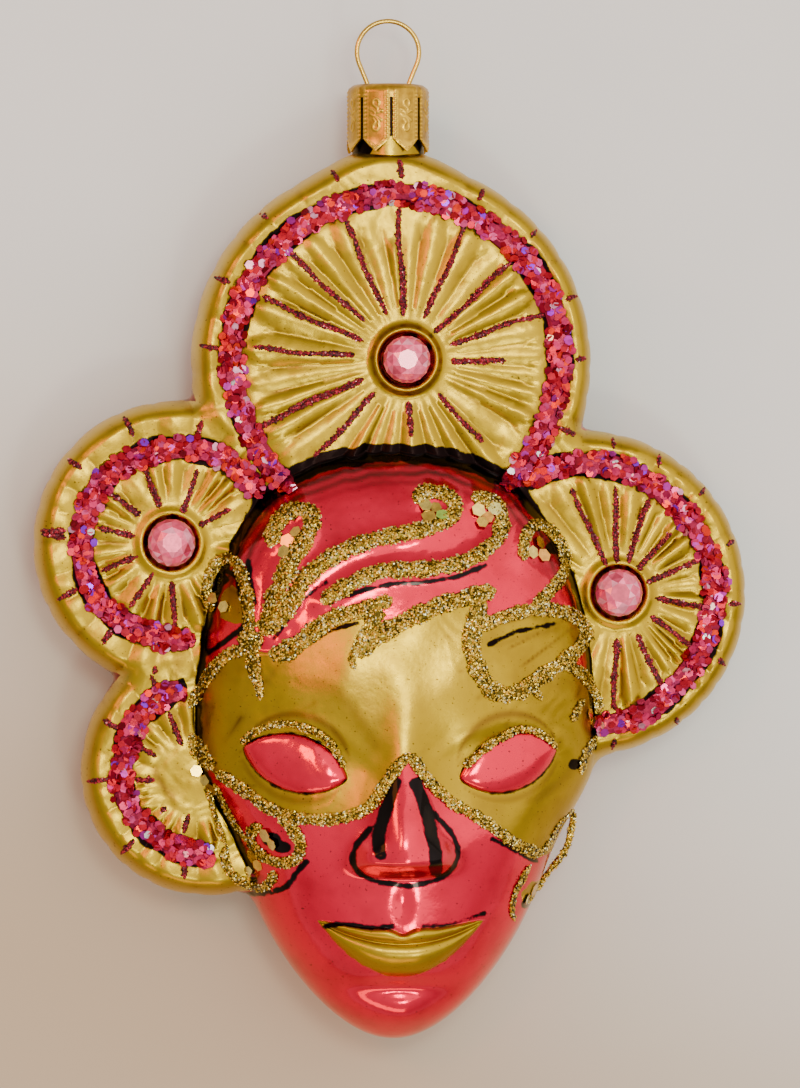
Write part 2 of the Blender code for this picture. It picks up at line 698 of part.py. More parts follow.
def surface_of(body):
    """A function that gives the height of the finished glass above a place in plan."""
    bpy.context.view_layer.update()
    shape = bmesh.new()
    shape.from_object(body, bpy.context.evaluated_depsgraph_get())
    tree = BVHTree.FromBMesh(shape)
    shape.free()

    def height(x, y):
        hit = tree.ray_cast(Vector((x, y, 1.0)), Vector((0, 0, -1)))[0]
        return hit.z if hit else SEAM_HEIGHT

    return height


def resting(feet, surface):
    """Heights of rows of feet so that the sheet between them keeps the gap above the glass."""
    rows, columns = feet.shape[:2]
    least = np.array([[surface(*foot) + GAP for foot in row] for row in feet])
    height = least.copy()
    fine = np.linspace(0, 1, 5)
    for row in range(rows - 1):
        for column in range(columns - 1):
            for s in fine:
                for t in fine:
                    share = np.outer((1 - s, s), (1 - t, t))
                    place = np.tensordot(share, feet[row : row + 2, column : column + 2], 2)
                    under = (share * height[row : row + 2, column : column + 2]).sum()
                    short = surface(*place) + GAP - under
                    if short > 0:
                        height[row : row + 2, column : column + 2] += short
    return height


def ribbon(name, path, widths, section, surface, finish, parent):
    """A low bead that follows a plan path a gap above the glass. section: (share across, height) pairs."""
    path = np.asarray(path, float)
    run = np.gradient(path, axis=0)
    run = run / np.hypot(*run.T)[:, None]
    side = np.column_stack([-run[:, 1], run[:, 0]])
    across, heights = np.array(section).T
    feet = path[:, None] + side[:, None] * (across[:, None] * np.asarray(widths)[:, None, None] / 2)
    under = resting(feet, surface)
    over = under + heights
    low = np.dstack([feet, under])
    high = np.dstack([feet, over])[:, ::-1]
    points = np.concatenate([low, high], axis=1).reshape(-1, 3)
    ring = 2 * len(across)
    last = (len(path) - 1) * ring
    faces = [list(range(ring)), list(range(last + ring - 1, last - 1, -1))]
    for row in range(len(path) - 1):
        for k in range(ring):
            a = row * ring + k
            b = row * ring + (k + 1) % ring
            faces.append((a, b, b + ring, a + ring))
    return solid(name, points, faces, finish, parent)


def glitter_band(fan, surface, finish, parent):
    length = math.radians(fan.band_end - fan.band_start) * fan.ring_radius
    count = max(8, round(length / (4.2 * MM)))
    turn = np.radians(np.linspace(fan.band_start, fan.band_end, count))
    path = np.column_stack(
        [fan.ring_x + fan.ring_radius * np.cos(turn), fan.ring_y + fan.ring_radius * np.sin(turn)]
    )
    widths = np.full(count, BAND_WIDTH)
    high = BAND_THICKNESS
    section = ((-1, 0.35 * high), (-0.5, high), (0.5, high), (1, 0.35 * high))
    return ribbon(f"glitter_band_{fan.name}", path, widths, section, surface, finish, parent)


# Gold trails: places in millimetres from the middle of the outline, as seen from the leaning sight line

TRAILS = {
    "gold_trail_crest_left": (2.5, 1.9, [
        (-20.4, -17.2), (-18.4, -10.2), (-16.0, -4.7), (-13.3, -0.4), (-12.9, 2.6), (-15.4, 3.4),
        (-18.4, 1.4), (-19.8, -2.8),
    ]),
    "gold_trail_temple_left": (2.0, 1.6, [
        (-23.0, -16.6), (-23.6, -10.4), (-25.4, -5.2), (-28.4, -5.4), (-30.2, -9.4), (-29.4, -13.4),
    ]),
    "gold_trail_crest_middle": (2.6, 2.1, [
        (-16.2, -12.2), (-14.2, -8.4), (-10.0, -4.8), (-3.4, -1.9), (5.8, 0.2), (10.4, 2.6),
        (9.8, 5.4), (5.8, 6.2), (4.0, 4.4),
    ]),
    "gold_trail_crest_right": (2.6, 2.1, [
        (-11.2, -11.9), (-7.3, -9.3), (-1.7, -6.8), (4.9, -6.5), (11.5, -5.4), (17.2, -1.9),
        (18.2, 2.7), (16.0, 5.0), (13.2, 5.2),
    ]),
    "gold_trail_brow_left": (3.0, 1.2, [
        (-17.4, -20.4), (-14.6, -18.2), (-9.6, -14.4), (-4.2, -13.0), (0.3, -11.2),
    ]),
    "gold_trail_brow_middle": (3.0, 2.0, [
        (-5.6, -21.6), (-3.6, -18.4), (0.8, -15.4), (7.8, -12.2), (12.6, -10.9), (17.2, -9.9),
    ]),
    "gold_trail_brow_right": (2.5, 1.6, [
        (14.9, -14.4), (13.2, -18.4), (14.2, -22.6), (17.0, -26.4), (20.4, -26.6), (25.0, -23.8),
        (30.2, -20.2), (32.4, -16.8), (29.6, -13.8), (23.6, -13.0), (17.4, -14.6),
    ]),
    "gold_trail_temple_right": (2.1, 1.6, [
        (25.6, -10.6), (28.4, -7.4), (28.6, -3.6), (26.6, -0.2), (23.8, 0.8), (22.0, -1.4), (21.8, -5.0),
    ]),
    "gold_trail_nose": (2.0, 1.7, [
        (-28.6, -39.6), (-23.6, -42.8), (-19.4, -45.6), (-14.4, -46.9), (-8.2, -46.8), (-3.4, -44.8),
        (-0.6, -40.6), (3.0, -36.8), (6.2, -40.6), (10.0, -44.2), (15.4, -47.4), (20.6, -51.2), (25.0, -53.4),
    ]),
    "gold_trail_cheek_left": (1.9, 1.3, [
        (-17.6, -48.8), (-14.8, -52.6), (-17.6, -54.6), (-21.6, -53.2), (-22.6, -50.0),
    ]),
}


def smooth_path(points, step):
    """A curve through chosen points, with stations at even steps."""
    points = np.asarray(points, float)
    ends = np.vstack([2 * points[0] - points[1], points, 2 * points[-1] - points[-2]])
    share = np.linspace(0, 1, 12, endpoint=False)[:, None]
    pieces = []
    for a, b, c, d in zip(ends, ends[1:], ends[2:], ends[3:]):
        pieces.append(
            b + share * (c - a) / 2 + share**2 * (a - 2.5 * b + 2 * c - d / 2)
            + share**3 * (-a / 2 + 1.5 * b - 1.5 * c + d / 2)
        )
    fine = np.vstack([*pieces, points[-1:]])
    run = np.concatenate([[0], np.cumsum(np.hypot(*np.diff(fine, axis=0).T))])
    at = np.linspace(0, run[-1], max(4, round(run[-1] / step)))
    return np.column_stack([np.interp(at, run, fine[:, 0]), np.interp(at, run, fine[:, 1])])


def under_sight(path):
    """The plan places under a path seen along the leaning line of sight."""
    plan = np.array(path)
    for _ in range(6):
        plan[:, 0] = path[:, 0] - front(plan[:, 0], plan[:, 1]) * math.tan(math.radians(SIGHT_LEAN))
    return plan


def gold_trail(name, surface, finish, parent):
    start_width, end_width, points = TRAILS[name]
    path = under_sight(smooth_path(np.array(points) * MM, 2.3 * MM))
    widths = np.linspace(start_width, end_width, len(path)) * MM
    high = TRAIL_THICKNESS
    section = ((-1, 0.35 * high), (0, high), (1, 0.35 * high))
    return ribbon(name, path, widths, section, surface, finish, parent)


def centre(root):
    """Moves everything so that the middle of the underside of the whole is the origin."""
    bpy.context.view_layer.update()
    shown = [thing for thing in root.children if not thing.hide_render]
    corners = np.array([thing.matrix_world @ Vector(corner) for thing in shown for corner in thing.bound_box])
    low, high = corners.min(axis=0), corners.max(axis=0)
    root.location = (-(low[0] + high[0]) / 2, -(low[1] + high[1]) / 2, -low[2])


def main():
    for thing in list(bpy.data.objects):
        bpy.data.objects.remove(thing)
    glass = material("gold_lacquered_glass", (0.48, 0.37, 0.09), 0.28, 1.0)
    stamped = material("stamped_brass", (0.63, 0.39, 0.07), 0.3, 1.0)
    stone = material("pink_cut_stone", (0.65, 0.12, 0.22), 0.08, 0.0)
    pink = material("pink_glitter", (0.50, 0.05, 0.11), 0.35, 0.3)
    gold = material("gold_glitter", (0.45, 0.32, 0.08), 0.5, 0.6)
    root = bpy.data.objects.new("ornament", None)
    bpy.context.collection.objects.link(root)
    body = glass_body(glass, root)
    surface = surface_of(body)
    ornament_cap(stamped, root)
    hanger_wire(stamped, root)
    for fan in FANS:
        if fan.gem:
            rhinestone(fan, surface, stone, root)
        glitter_band(fan, surface, pink, root)
    for name in TRAILS:
        gold_trail(name, surface, gold, root)
    centre(root)


main()
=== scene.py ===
"""Looks of a hanging ornament: a carnival mask of blown, silvered and lacquered glass, lying on its back.

X runs to its right as seen from the front, Y towards the hanger, Z out of the face, in metres. The front
is a height over the plan above the level mould seam, the back a depth below it. Plan places are measured
from the middle of the outline. Glitter, stones, cap and wire are laid on that glass.
"""

import math
from typing import NamedTuple

import bpy
import numpy as np
from bpy.props import FloatProperty, FloatVectorProperty, IntProperty, PointerProperty
from mathutils import Matrix, Vector
from mathutils.geometry import delaunay_2d_cdt


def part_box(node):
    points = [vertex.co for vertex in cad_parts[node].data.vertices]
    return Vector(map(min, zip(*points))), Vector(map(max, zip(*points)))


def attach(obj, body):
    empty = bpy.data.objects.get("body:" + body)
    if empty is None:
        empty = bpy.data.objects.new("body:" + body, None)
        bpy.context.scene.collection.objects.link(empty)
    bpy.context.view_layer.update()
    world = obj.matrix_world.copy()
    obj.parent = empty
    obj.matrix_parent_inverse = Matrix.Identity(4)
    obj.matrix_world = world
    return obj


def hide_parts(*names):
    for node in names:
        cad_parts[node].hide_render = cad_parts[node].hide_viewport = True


bl_info = {
    "name": "Carnival mask ornament",
    "version": (1, 0, 0),
    "blender": (4, 5, 0),
    "location": "3D view > Sidebar > Ornament",
    "description": "Blown glass, glitter, cut stones, cap and wire of a carnival mask ornament",
    "category": "Object",
}

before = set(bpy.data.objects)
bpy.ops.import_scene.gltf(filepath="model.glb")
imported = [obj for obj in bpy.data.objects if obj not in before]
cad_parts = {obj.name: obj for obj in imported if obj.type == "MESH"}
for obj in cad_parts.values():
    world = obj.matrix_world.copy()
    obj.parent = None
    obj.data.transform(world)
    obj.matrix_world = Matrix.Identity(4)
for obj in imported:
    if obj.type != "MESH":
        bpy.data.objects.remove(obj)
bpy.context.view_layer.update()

MM = 0.001

# Blown body
SEAM_HEIGHT = 13 * MM
RIM_WIDTH = 3.0 * MM
FAN_BACK = 6.2 * MM
NOTCH_SOFTNESS = 1.1 * MM
SHOULDER_Y = 47.8 * MM  # middle of the round that lifts the top fan's rim towards the neck
SHOULDER_RADIUS = 15.0 * MM
BACK_DOME = 14.6 * MM
SCALLOP = 0.25 * MM  # how far the outline draws in between two pleats

# Head, an egg with the chin towards -Y
HEAD_X = 0.4 * MM
HEAD_Y = -34.6 * MM
HEAD_HALF_WIDTH = 33.8 * MM
HEAD_HALF_HEIGHT = 49.2 * MM
HEAD_RISE = 21.5 * MM
CROWN_POWER = 2.5
JAW_TAPER = 0.17
JAW_START = 0.30
CHIN_TAPER = 0.15
DOME_POWER = 2.4
HEAD_SLAB = 5.8 * MM

# Pleats, gem seats and the channel that the glitter lies in
PLEAT_RISE = 0.7 * MM
CHANNEL_DEPTH = 0.5 * MM
BAND_WIDTH = 4.0 * MM
GEM_DIAMETER = 7.8 * MM
GEM_HEIGHT = 2.5 * MM
SEAT_RADIUS = GEM_DIAMETER / 2 + 0.35 * MM
LIP_WIDTH = 1.5 * MM
LIP_RISE = 1.4 * MM
LIP_RADIUS = SEAT_RADIUS + LIP_WIDTH

# Fine relief of the face
RIDGE_RISE = 0.75 * MM  # of the moulded scrolls that the gold trails follow
RIDGE_WIDTH = 1.7 * MM
MASK_STEP = 0.45 * MM  # of the half mask over the cheeks
WAVE_RISE = 0.07 * MM  # unevenness of blown glass
EDGE_FIT = 0.08 * MM  # by which a fine skin stands proud of the frame's flat faces, taken off the outline
NOSE_FIT = 0.25 * MM  # and off the tip of the nose
SLOPE_STEP = 0.05 * MM  # over which slopes of the plan are measured
FAR = 5 * MM  # stands for a distance that is too great to matter

# Neck, cap and hanger, round an axis in the seam plane
NECK_X = -0.4 * MM
NECK_RADIUS = 5.9 * MM
NECK_WALL = 1.2 * MM
NECK_ROOT = 3.6 * MM
BORE_DEPTH = 12 * MM
CAP_HEIGHT = 11.2 * MM
CAP_WALL = 0.4 * MM
CAP_RADIUS = NECK_RADIUS + 0.35 * MM + CAP_WALL
CAP_LIFT = 1.3 * MM
CAP_TAB_COUNT = 8
CAP_TAB_POINT = 2.1 * MM
CAP_SLIT_WIDTH = 0.5 * MM
CAP_SLIT_START = 2.3 * MM
CAP_SHOULDER = 1.5 * MM
TAB_COLUMNS = 40  # mesh points across a tab
NECK_SIDES = 96
WIRE_SIDES = 14
WIRE_RADIUS = 0.4 * MM
LOOP_RADIUS = 5.13 * MM
LOOP_LIFT = 5.4 * MM
LEG_SPACING = 6.9 * MM
LEG_LENGTH = 6.5 * MM
LEG_RISE = 0.3 * MM  # over the cap, where the wire bends outwards
TAB_FLARE = 0.25 * MM  # how far the points of the tabs spread
FLARE_HEIGHT = 2.5 * MM
AXIS_GAP = 0.01 * MM  # radius at which a turned profile starts and ends
SHARP_ANGLE = math.radians(50)

# Seeds of what falls or is pleated at random, the last three added to the user's own
PLEAT_SEED = 3
STONE_SEED = 30
TRAIL_SEED = 100
SEQUIN_SEED = 200
RAY_SEED = 300

# Beads of glue that glitter lies in
BAND_HEIGHT = 0.95 * MM
TRAIL_HEIGHT = 0.58 * MM
RAY_HEIGHT = 0.32 * MM

SIGHT_LEAN = 5  # degrees to the left of square, from which the places on the face were taken


class Fan(NamedTuple):
    name: str
    x: float
    y: float
    radius: float
    rise: float
    ring_x: float
    ring_y: float
    ring_radius: float
    hub_x: float
    hub_y: float
    pleats: int
    gem: bool
    lip: float  # height of the collar as a share of the tallest
    band_start: float  # degrees
    band_end: float
    rays: tuple  # (degrees, from the hub, to) in millimetres


FANS = (
    Fan(
        "top", 0.1 * MM, 27.6 * MM, 33.1 * MM, 6.8 * MM, 0.4 * MM, 27.7 * MM, 27.0 * MM,
        2.0 * MM, 27.8 * MM, 32, True, 0.9, -50, 231,
        (
            (0, 28.0, 30.0), (19, 7.7, 24.2), (20, 28.1, 30.4), (43, 6.4, 23.9), (44, 28.7, 30.3),
            (66, 7.4, 24.8), (66, 28.7, 31.0), (92, 29.7, 33.0), (93, 7.1, 25.2), (111, 31.1, 33.4),
            (114, 8.1, 25.9), (135, 32.4, 33.8), (138, 9.4, 27.0), (156, 31.4, 34.2), (157, 7.7, 25.8),
            (176, 8.5, 25.4), (176, 30.7, 33.8), (204, 7.7, 26.5), (227, 7.4, 21.7), (273, 6.9, 12.7),
            (313, 7.7, 18.7), (337, 27.5, 30.5), (359, 7.4, 16.6),
        ),
    ),
    Fan(
        "right", 32.0 * MM, -10.5 * MM, 26.9 * MM, 6.4 * MM, 31.4 * MM, -10.8 * MM, 21.5 * MM,
        37.0 * MM, -10.4 * MM, 28, True, 0.4, -86, 119,
        (
            (21, 5.0, 14.7), (23, 19.6, 21.6), (49, 5.0, 13.1), (50, 21.0, 23.0), (72, 5.1, 16.4),
            (72, 21.6, 24.0), (91, 23.8, 25.8), (92, 4.9, 17.5), (114, 4.9, 18.9), (268, 7.5, 19.4),
            (269, 24.0, 25.8), (295, 7.5, 18.8), (296, 22.7, 24.6), (324, 6.6, 15.4), (326, 19.8, 21.7),
            (351, 6.3, 14.6), (355, 18.4, 20.8),
        ),
    ),
    Fan(
        "upper_left", -35.3 * MM, -2.4 * MM, 23.6 * MM, 6.2 * MM, -35.5 * MM, -2.4 * MM, 15.7 * MM,
        -36.5 * MM, -2.2 * MM, 22, True, 0.35, 30, 280,
        (
            (30, 5.4, 11.1), (70, 5.2, 13.1), (76, 17.5, 20.5), (109, 6.0, 14.2), (110, 18.5, 22.1),
            (140, 6.8, 13.6), (141, 19.0, 21.9), (169, 6.1, 12.3), (174, 17.3, 21.2), (177, 17.2, 21.1),
            (202, 6.0, 12.3), (206, 17.2, 20.9), (236, 17.2, 19.9), (238, 5.8, 12.5), (262, 20.4, 21.6),
            (272, 6.4, 14.4),
        ),
    ),
    Fan(
        "lower_left", -30.2 * MM, -39.3 * MM, 20.9 * MM, 5.9 * MM, -30.7 * MM, -39.3 * MM, 13.8 * MM,
        -32.4 * MM, -40.8 * MM, 20, False, 0.05, 104, 276,
        (
            (113, 5.9, 11.7), (113, 16.2, 18.4), (148, 14.9, 18.3), (151, 7.4, 10.9), (181, 6.9, 10.2),
            (181, 13.7, 17.8), (223, 6.7, 8.3), (225, 14.2, 17.2), (258, 5.9, 8.9), (263, 14.1, 16.3),
        ),
    ),
)


# Where the plan's middle lies in the frame, read from the stone that is known in both
stone_low, stone_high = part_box("rhinestone_top")
SHIFT = (
    (stone_low.x + stone_high.x) / 2 - FANS[0].hub_x,
    (stone_low.y + stone_high.y) / 2 - FANS[0].hub_y,
    SEAM_HEIGHT,
)


# Sizes and colours that a user would change

def linear(code):
    """An sRGB hex colour as linear red, green and blue."""
    channel = np.array([int(code[k : k + 2], 16) for k in (1, 3, 5)]) / 255
    return tuple(np.where(channel <= 0.04045, channel / 12.92, ((channel + 0.055) / 1.055) ** 2.4))


def length(name, description, millimetres, low=0.05, high=50):
    """A property that holds a length."""
    return FloatProperty(
        name=name, description=description, default=millimetres * MM, min=low * MM, max=high * MM,
        unit="LENGTH", precision=5,
    )


def colour(name, description, code):
    """A property that holds a colour."""
    return FloatVectorProperty(
        name=name, description=description, subtype="COLOR", size=3, min=0, max=1, default=linear(code)
    )


class GlassSettings(bpy.types.PropertyGroup):
    fan_spacing: length("Fan spacing", "Distance between mesh points on the fans", 0.55)
    head_spacing: length("Face spacing", "Distance between mesh points on the face", 0.46)
    back_spacing: length("Back spacing", "Distance between mesh points on the back", 1.3)
    gold: colour("Gold lacquer", "Satin lacquer over the silvering", "#A5851A")
    # Also the colour of the painted shade in the pleat valleys, round the eyes and in brown strokes
    patina_and_shade: colour("Patina", "Thicker lacquer in valleys and blotches", "#72501A")
    red: colour("Red lacquer", "Glossy transparent lacquer over the silvering", "#DC0C3A")
    deep_red: colour("Deep red", "The red lacquer where it has run thick", "#A40A22")
    gold_roughness: FloatProperty(
        name="Gold roughness", description="Blur of the gold's reflections", default=0.30, min=0, max=1,
        subtype="FACTOR",
    )
    red_roughness: FloatProperty(
        name="Red roughness", description="Blur of the red's reflections", default=0.15, min=0, max=1,
        subtype="FACTOR",
    )


class GlitterSettings(bpy.types.PropertyGroup):
    flake_radius: length("Flake radius", "Half the width of a coarse hexagonal flake", 0.72)
    flake_thickness: length("Flake thickness", "Thicker than real foil, to show in the render", 0.09, 0.02)
    grain_radius: length("Grain radius", "Half the width of a grain of fine glitter", 0.23)
    sequin_radius: length("Sequin radius", "Half the width of a gold sequin", 1.15)
    ray_width: length("Ray width", "Width of the dark red lines of fine glitter", 1.05)
    seed: IntProperty(name="Seed", description="Changes how the glitter has fallen", default=7, min=0)


class MetalSettings(bpy.types.PropertyGroup):
    brass: colour("Stamped brass", "Lacquered sheet of the cap", "#D8AA34")
    wire: colour("Wire", "Drawn brass wire of the loop", "#D2AA48")
    relief: length("Relief", "Height of the beads along the cap's tabs", 0.17, 0.0)


class StageSettings(bpy.types.PropertyGroup):
    distance: length("Camera distance", "From the camera to the ornament", 1200, 100, 3000)
    width: length("Frame width", "What the camera sees across, at the mould seam", 131.8, 20, 1000)
    floor: colour("Floor", "Matt pale paper", "#D9D8DA")
    # The floor's colour towards its lower left: painted warm shade
    warm_floor_shade: colour("Warm floor", "The paper where it faces a warm wall", "#AE9A84")
    key: FloatProperty(name="Key light", description="Power of the main window light", default=4.4, min=0)


# Plan of the body

def smooth_step(value, low, high):
    """0 below low, 1 above high, with an S-shaped rise between them."""
    share = np.clip((value - low) / (high - low), 0, 1)
    return share * share * (3 - 2 * share)


def hump(value, width):
    """1 at 0, falling as a bell on both sides."""
    return np.exp(-((value / width) ** 2))


def head_gauge(x, y):
    """0 at the head's middle and 1 on its outline, an ellipse made fuller above and narrower to the chin."""
    v = (y - HEAD_Y) / HEAD_HALF_HEIGHT
    down = np.maximum(-v, 0)
    taper = 1 - JAW_TAPER * np.tanh((down / JAW_START) ** 2) - CHIN_TAPER * down**3
    u = np.abs(x - HEAD_X) / (HEAD_HALF_WIDTH * taper)
    power = np.where(v > 0, CROWN_POWER, 2)
    return (u**power + np.abs(v) ** power) ** (1 / power)


def polar(x, y):
    """Direction and distance from the middle."""
    return np.arctan2(y, x), np.hypot(x, y)


def slopes(height, x, y, step):
    """How steep a height over the plan is along X and Y, from its differences over a step each way."""
    along_x = (height(x + step, y) - height(x - step, y)) / (2 * step)
    along_y = (height(x, y + step) - height(x, y - step)) / (2 * step)
    return along_x, along_y


def head_inset(x, y):
    """Distance inside the head's outline: what the gauge lacks to 1, divided by its slope."""
    slope = np.hypot(*slopes(head_gauge, x, y, SLOPE_STEP))
    return (1 - head_gauge(x, y)) / np.maximum(slope, 0.5 / HEAD_HALF_HEIGHT)


PLEAT_HEIGHTS = np.random.default_rng(PLEAT_SEED).uniform(0.3, 1.5, 32)


def pleat_place(fan, angle):
    """The number of the pleat that a direction from the hub falls in, and how far across it, 0 to 1."""
    uneven = 0.22 * np.sin(3 * angle + fan.pleats) + 0.16 * np.sin(7 * angle + 2 * fan.pleats)
    place = np.mod(angle / (2 * math.pi) * fan.pleats + uneven, fan.pleats)
    return np.floor(place).astype(int) % 32, np.mod(place, 1)


def pleat_arch(fan, angle):
    """0 in the valleys between the pleats of a fan and 1 along their ridges."""
    return 1 - np.abs(2 * pleat_place(fan, angle)[1] - 1) ** 1.7


def fan_inset(fan, x, y):
    """Distance inside a fan's circle, whose edge draws in a little at each valley."""
    valley = 1 - pleat_arch(fan, np.arctan2(y - fan.hub_y, x - fan.hub_x))
    inset = fan.radius - np.hypot(x - fan.x, y - fan.y)
    return inset - SCALLOP * valley**2 * hump(np.maximum(inset, 0), 1.2 * MM)


def insets(x, y):
    shoulder = SHOULDER_RADIUS - np.hypot(x - NECK_X, y - SHOULDER_Y)
    return np.stack([fan_inset(fan, x, y) for fan in FANS] + [shoulder, head_inset(x, y)])


def body_inset(x, y):
    """Distance inside the whole outline: the greatest of the insets, softened where two are alike."""
    parts = insets(x, y) / NOTCH_SOFTNESS
    most = parts.max(axis=0)
    return NOTCH_SOFTNESS * (most + np.log(np.exp(parts - most).sum(axis=0))) - EDGE_FIT


def rim(x, y):
    """0 on the outline, rising as a quarter ellipse to 1 at the rim's width."""
    share = np.clip(body_inset(x, y) / RIM_WIDTH, 0, 1)
    return np.sqrt(1 - (1 - share) ** 2)


def within_fans(x, y):
    """Distance inside the nearest fan, below 0 where only the head is."""
    return np.max([fan_inset(fan, x, y) for fan in FANS], axis=0)


# Relief of a fan

def ring_reach(fan, angle):
    """Distance from the hub to the ring of glitter in a direction: where a ray meets an off-centre circle."""
    dx = fan.ring_x - fan.hub_x
    dy = fan.ring_y - fan.hub_y
    along = dx * np.cos(angle) + dy * np.sin(angle)
    return along + np.sqrt(along**2 + fan.ring_radius**2 - dx * dx - dy * dy)


def pleat_fade(fan, angle, from_hub):
    """How strong the pleats are: none at the gem's lip, round ends at the glitter and weak outside it."""
    share = from_hub / ring_reach(fan, angle)
    end = share + 0.13 * (1 - pleat_arch(fan, angle))
    growth = smooth_step(from_hub, LIP_RADIUS, LIP_RADIUS + 4 * MM)
    growth = growth * (0.4 + 0.6 * smooth_step(share, 0.25, 0.8))
    return growth * (1 - smooth_step(end, 0.87, 0.97)) + 0.45 * smooth_step(share, 1.05, 1.12)


def fan_relief(fan, x, y):
    """Arched pleats of uneven height, a channel under the ring and a round lip at the gem's seat."""
    angle, from_hub = polar(x - fan.hub_x, y - fan.hub_y)
    height = PLEAT_HEIGHTS[pleat_place(fan, angle)[0]]
    relief = PLEAT_RISE * (height * pleat_arch(fan, angle) - 0.4) * pleat_fade(fan, angle, from_hub)
    from_ring = np.hypot(x - fan.ring_x, y - fan.ring_y) - fan.ring_radius
    relief = relief - CHANNEL_DEPTH * hump(from_ring, BAND_WIDTH / 2)
    return relief + fan.lip * LIP_RISE * hump(from_hub - SEAT_RADIUS - LIP_WIDTH / 2, LIP_WIDTH / 2)


def fan_front(x, y):
    """Height of the fans above the seam: each one's rise and relief, mixed where their insets are alike."""
    parts = insets(x, y)
    weights = np.exp((parts - parts.max(axis=0)) / NOTCH_SOFTNESS)
    rises = [fan.rise + fan_relief(fan, x, y) for fan in FANS]
    rises += [np.full_like(x, FANS[0].rise), np.full_like(x, HEAD_SLAB)]
    return rim(x, y) * (weights * np.stack(rises)).sum(axis=0) / weights.sum(axis=0)


# Relief of the face, in shares of the head's half width, half height and rise

EYE_U = 0.515
EYE_V = -0.068
EYE_HALF_LENGTH = 0.255
EYE_HALF_HEIGHT = 0.138
EYE_TILT = math.radians(17)
EYE_POWER = 0.75  # 1 for pointed corners, 0.5 for round ones
NOSE_TOP = 0.02
NOSE_TIP = -0.385
MOUTH_V = -0.664
MOUTH_HALF_WIDTH = 0.40
MOUTH_LIFT = 0.074
UPPER_LIP = 0.046
LOWER_LIP = 0.112


def head_shares(x, y):
    return (x - HEAD_X) / HEAD_HALF_WIDTH, (y - HEAD_Y) / HEAD_HALF_HEIGHT


def almond(u, v, side):
    """1 in the middle of an eye, falling to 0 on its almond outline and below it outside."""
    du = (u - side * EYE_U) * side
    dv = (v - EYE_V) * HEAD_HALF_HEIGHT / HEAD_HALF_WIDTH
    along = (du * math.cos(EYE_TILT) + dv * math.sin(EYE_TILT)) / EYE_HALF_LENGTH
    across = (dv * math.cos(EYE_TILT) - du * math.sin(EYE_TILT)) / EYE_HALF_HEIGHT
    room = np.maximum(1 - along**2, 1e-3) ** EYE_POWER
    return np.where(np.abs(along) < 1, room - across**2 / room, -4.0)


def eye_relief(u, v):
    """A hollow round each eye, a smooth ball in the almond and a soft lid above it."""
    relief = 0
    for side in (-1, 1):
        out = u - side * EYE_U
        socket = hump(out, 0.33) * hump(v - EYE_V - 0.015, 0.14)
        inner = hump(u - side * 0.21, 0.12) * hump(v - EYE_V - 0.005, 0.09)
        ball = np.clip(almond(u, v, side), 0, 1) ** 0.55
        lid = hump(out, 0.30) * hump(v - EYE_V - 0.135 + 0.9 * out**2, 0.035)
        relief = relief - 0.085 * socket - 0.03 * inner + 0.085 * ball + 0.018 * lid
    return relief


def nose_relief(u, v):
    """A wedge that widens and rises to a round tip, with a wing at each side."""
    along = smooth_step(v, NOSE_TOP, NOSE_TIP)
    bottom = smooth_step(v, NOSE_TIP - 0.07, NOSE_TIP - 0.005)
    width = 0.085 + 0.07 * along
    bridge = smooth_step(v, NOSE_TOP + 0.20, NOSE_TOP - 0.10)
    ridge = np.exp(-np.abs(u / width) ** 2.4) * (0.055 + 0.225 * along**1.2) * bridge
    wings = sum(hump(u - side * 0.175, 0.075) for side in (-1, 1)) * hump(v - NOSE_TIP - 0.005, 0.06)
    return (ridge + 0.13 * wings) * bottom


def lip(across, thickness):
    """A rounded bead: 0 at both edges of the thickness and 1 in the middle."""
    share = across / np.maximum(thickness, 1e-3)
    return np.clip(4 * share * (1 - share), 0, 1) ** 0.8


def mouth_line(u, v):
    """How far a place is above the line between the lips, and its share of the way out to a corner."""
    share = np.clip(np.abs(u) / MOUTH_HALF_WIDTH, 0, 1)
    return v - MOUTH_V - MOUTH_LIFT * share**2, share


def lip_edges(u, share):
    """How far the upper lip, which has a bow in the middle, reaches up and the lower one down."""
    bow = 1 - 0.30 * hump(u, 0.04) + 0.12 * hump(np.abs(u) - 0.09, 0.05)
    return UPPER_LIP * (1 - share**2) ** 0.8 * bow, LOWER_LIP * (1 - share**2)


def mouth_relief(u, v):
    """Two lips that meet in a line whose corners lift, with a hollow above and a hollow below."""
    line, share = mouth_line(u, v)
    fade = 1 - share**2
    upper_edge, lower_edge = lip_edges(u, share)
    upper = lip(line, upper_edge) * fade**0.35
    lower = lip(-line, lower_edge) * fade**0.5
    lips = 0.05 * upper + 0.085 * lower
    philtrum = -0.022 * hump(u, 0.045) * hump(v + 0.53, 0.055)
    mound = 0.055 * hump(u, 0.40) * hump(v - MOUTH_V, 0.15)
    hollow = -0.07 * hump(u, 0.21) * hump(v + 0.818, 0.035)
    chin = 0.05 * hump(u, 0.22) * hump(v + 0.92, 0.05)
    return lips + philtrum + mound + hollow + chin


def face_relief(u, v):
    """Eyes, nose, mouth and soft cheeks."""
    cheeks = sum(hump(u - side * 0.50, 0.20) for side in (-1, 1)) * 0.035 * hump(v + 0.36, 0.15)
    return eye_relief(u, v) + nose_relief(u, v) + mouth_relief(u, v) + cheeks


def head_dome(x, y):
    return np.sqrt(1 - np.clip(head_gauge(x, y), 0, 1) ** DOME_POWER)


def head_front(x, y):
    """Height of the head above the seam: a dome with the face's relief, which fades out at its edge."""
    dome = head_dome(x, y)
    return HEAD_RISE * (dome + face_relief(*head_shares(x, y)) * smooth_step(dome, 0.05, 0.5))


def front(x, y):
    """Height of the plain front, without the fine relief of the face."""
    return np.maximum(fan_front(x, y), head_front(x, y))


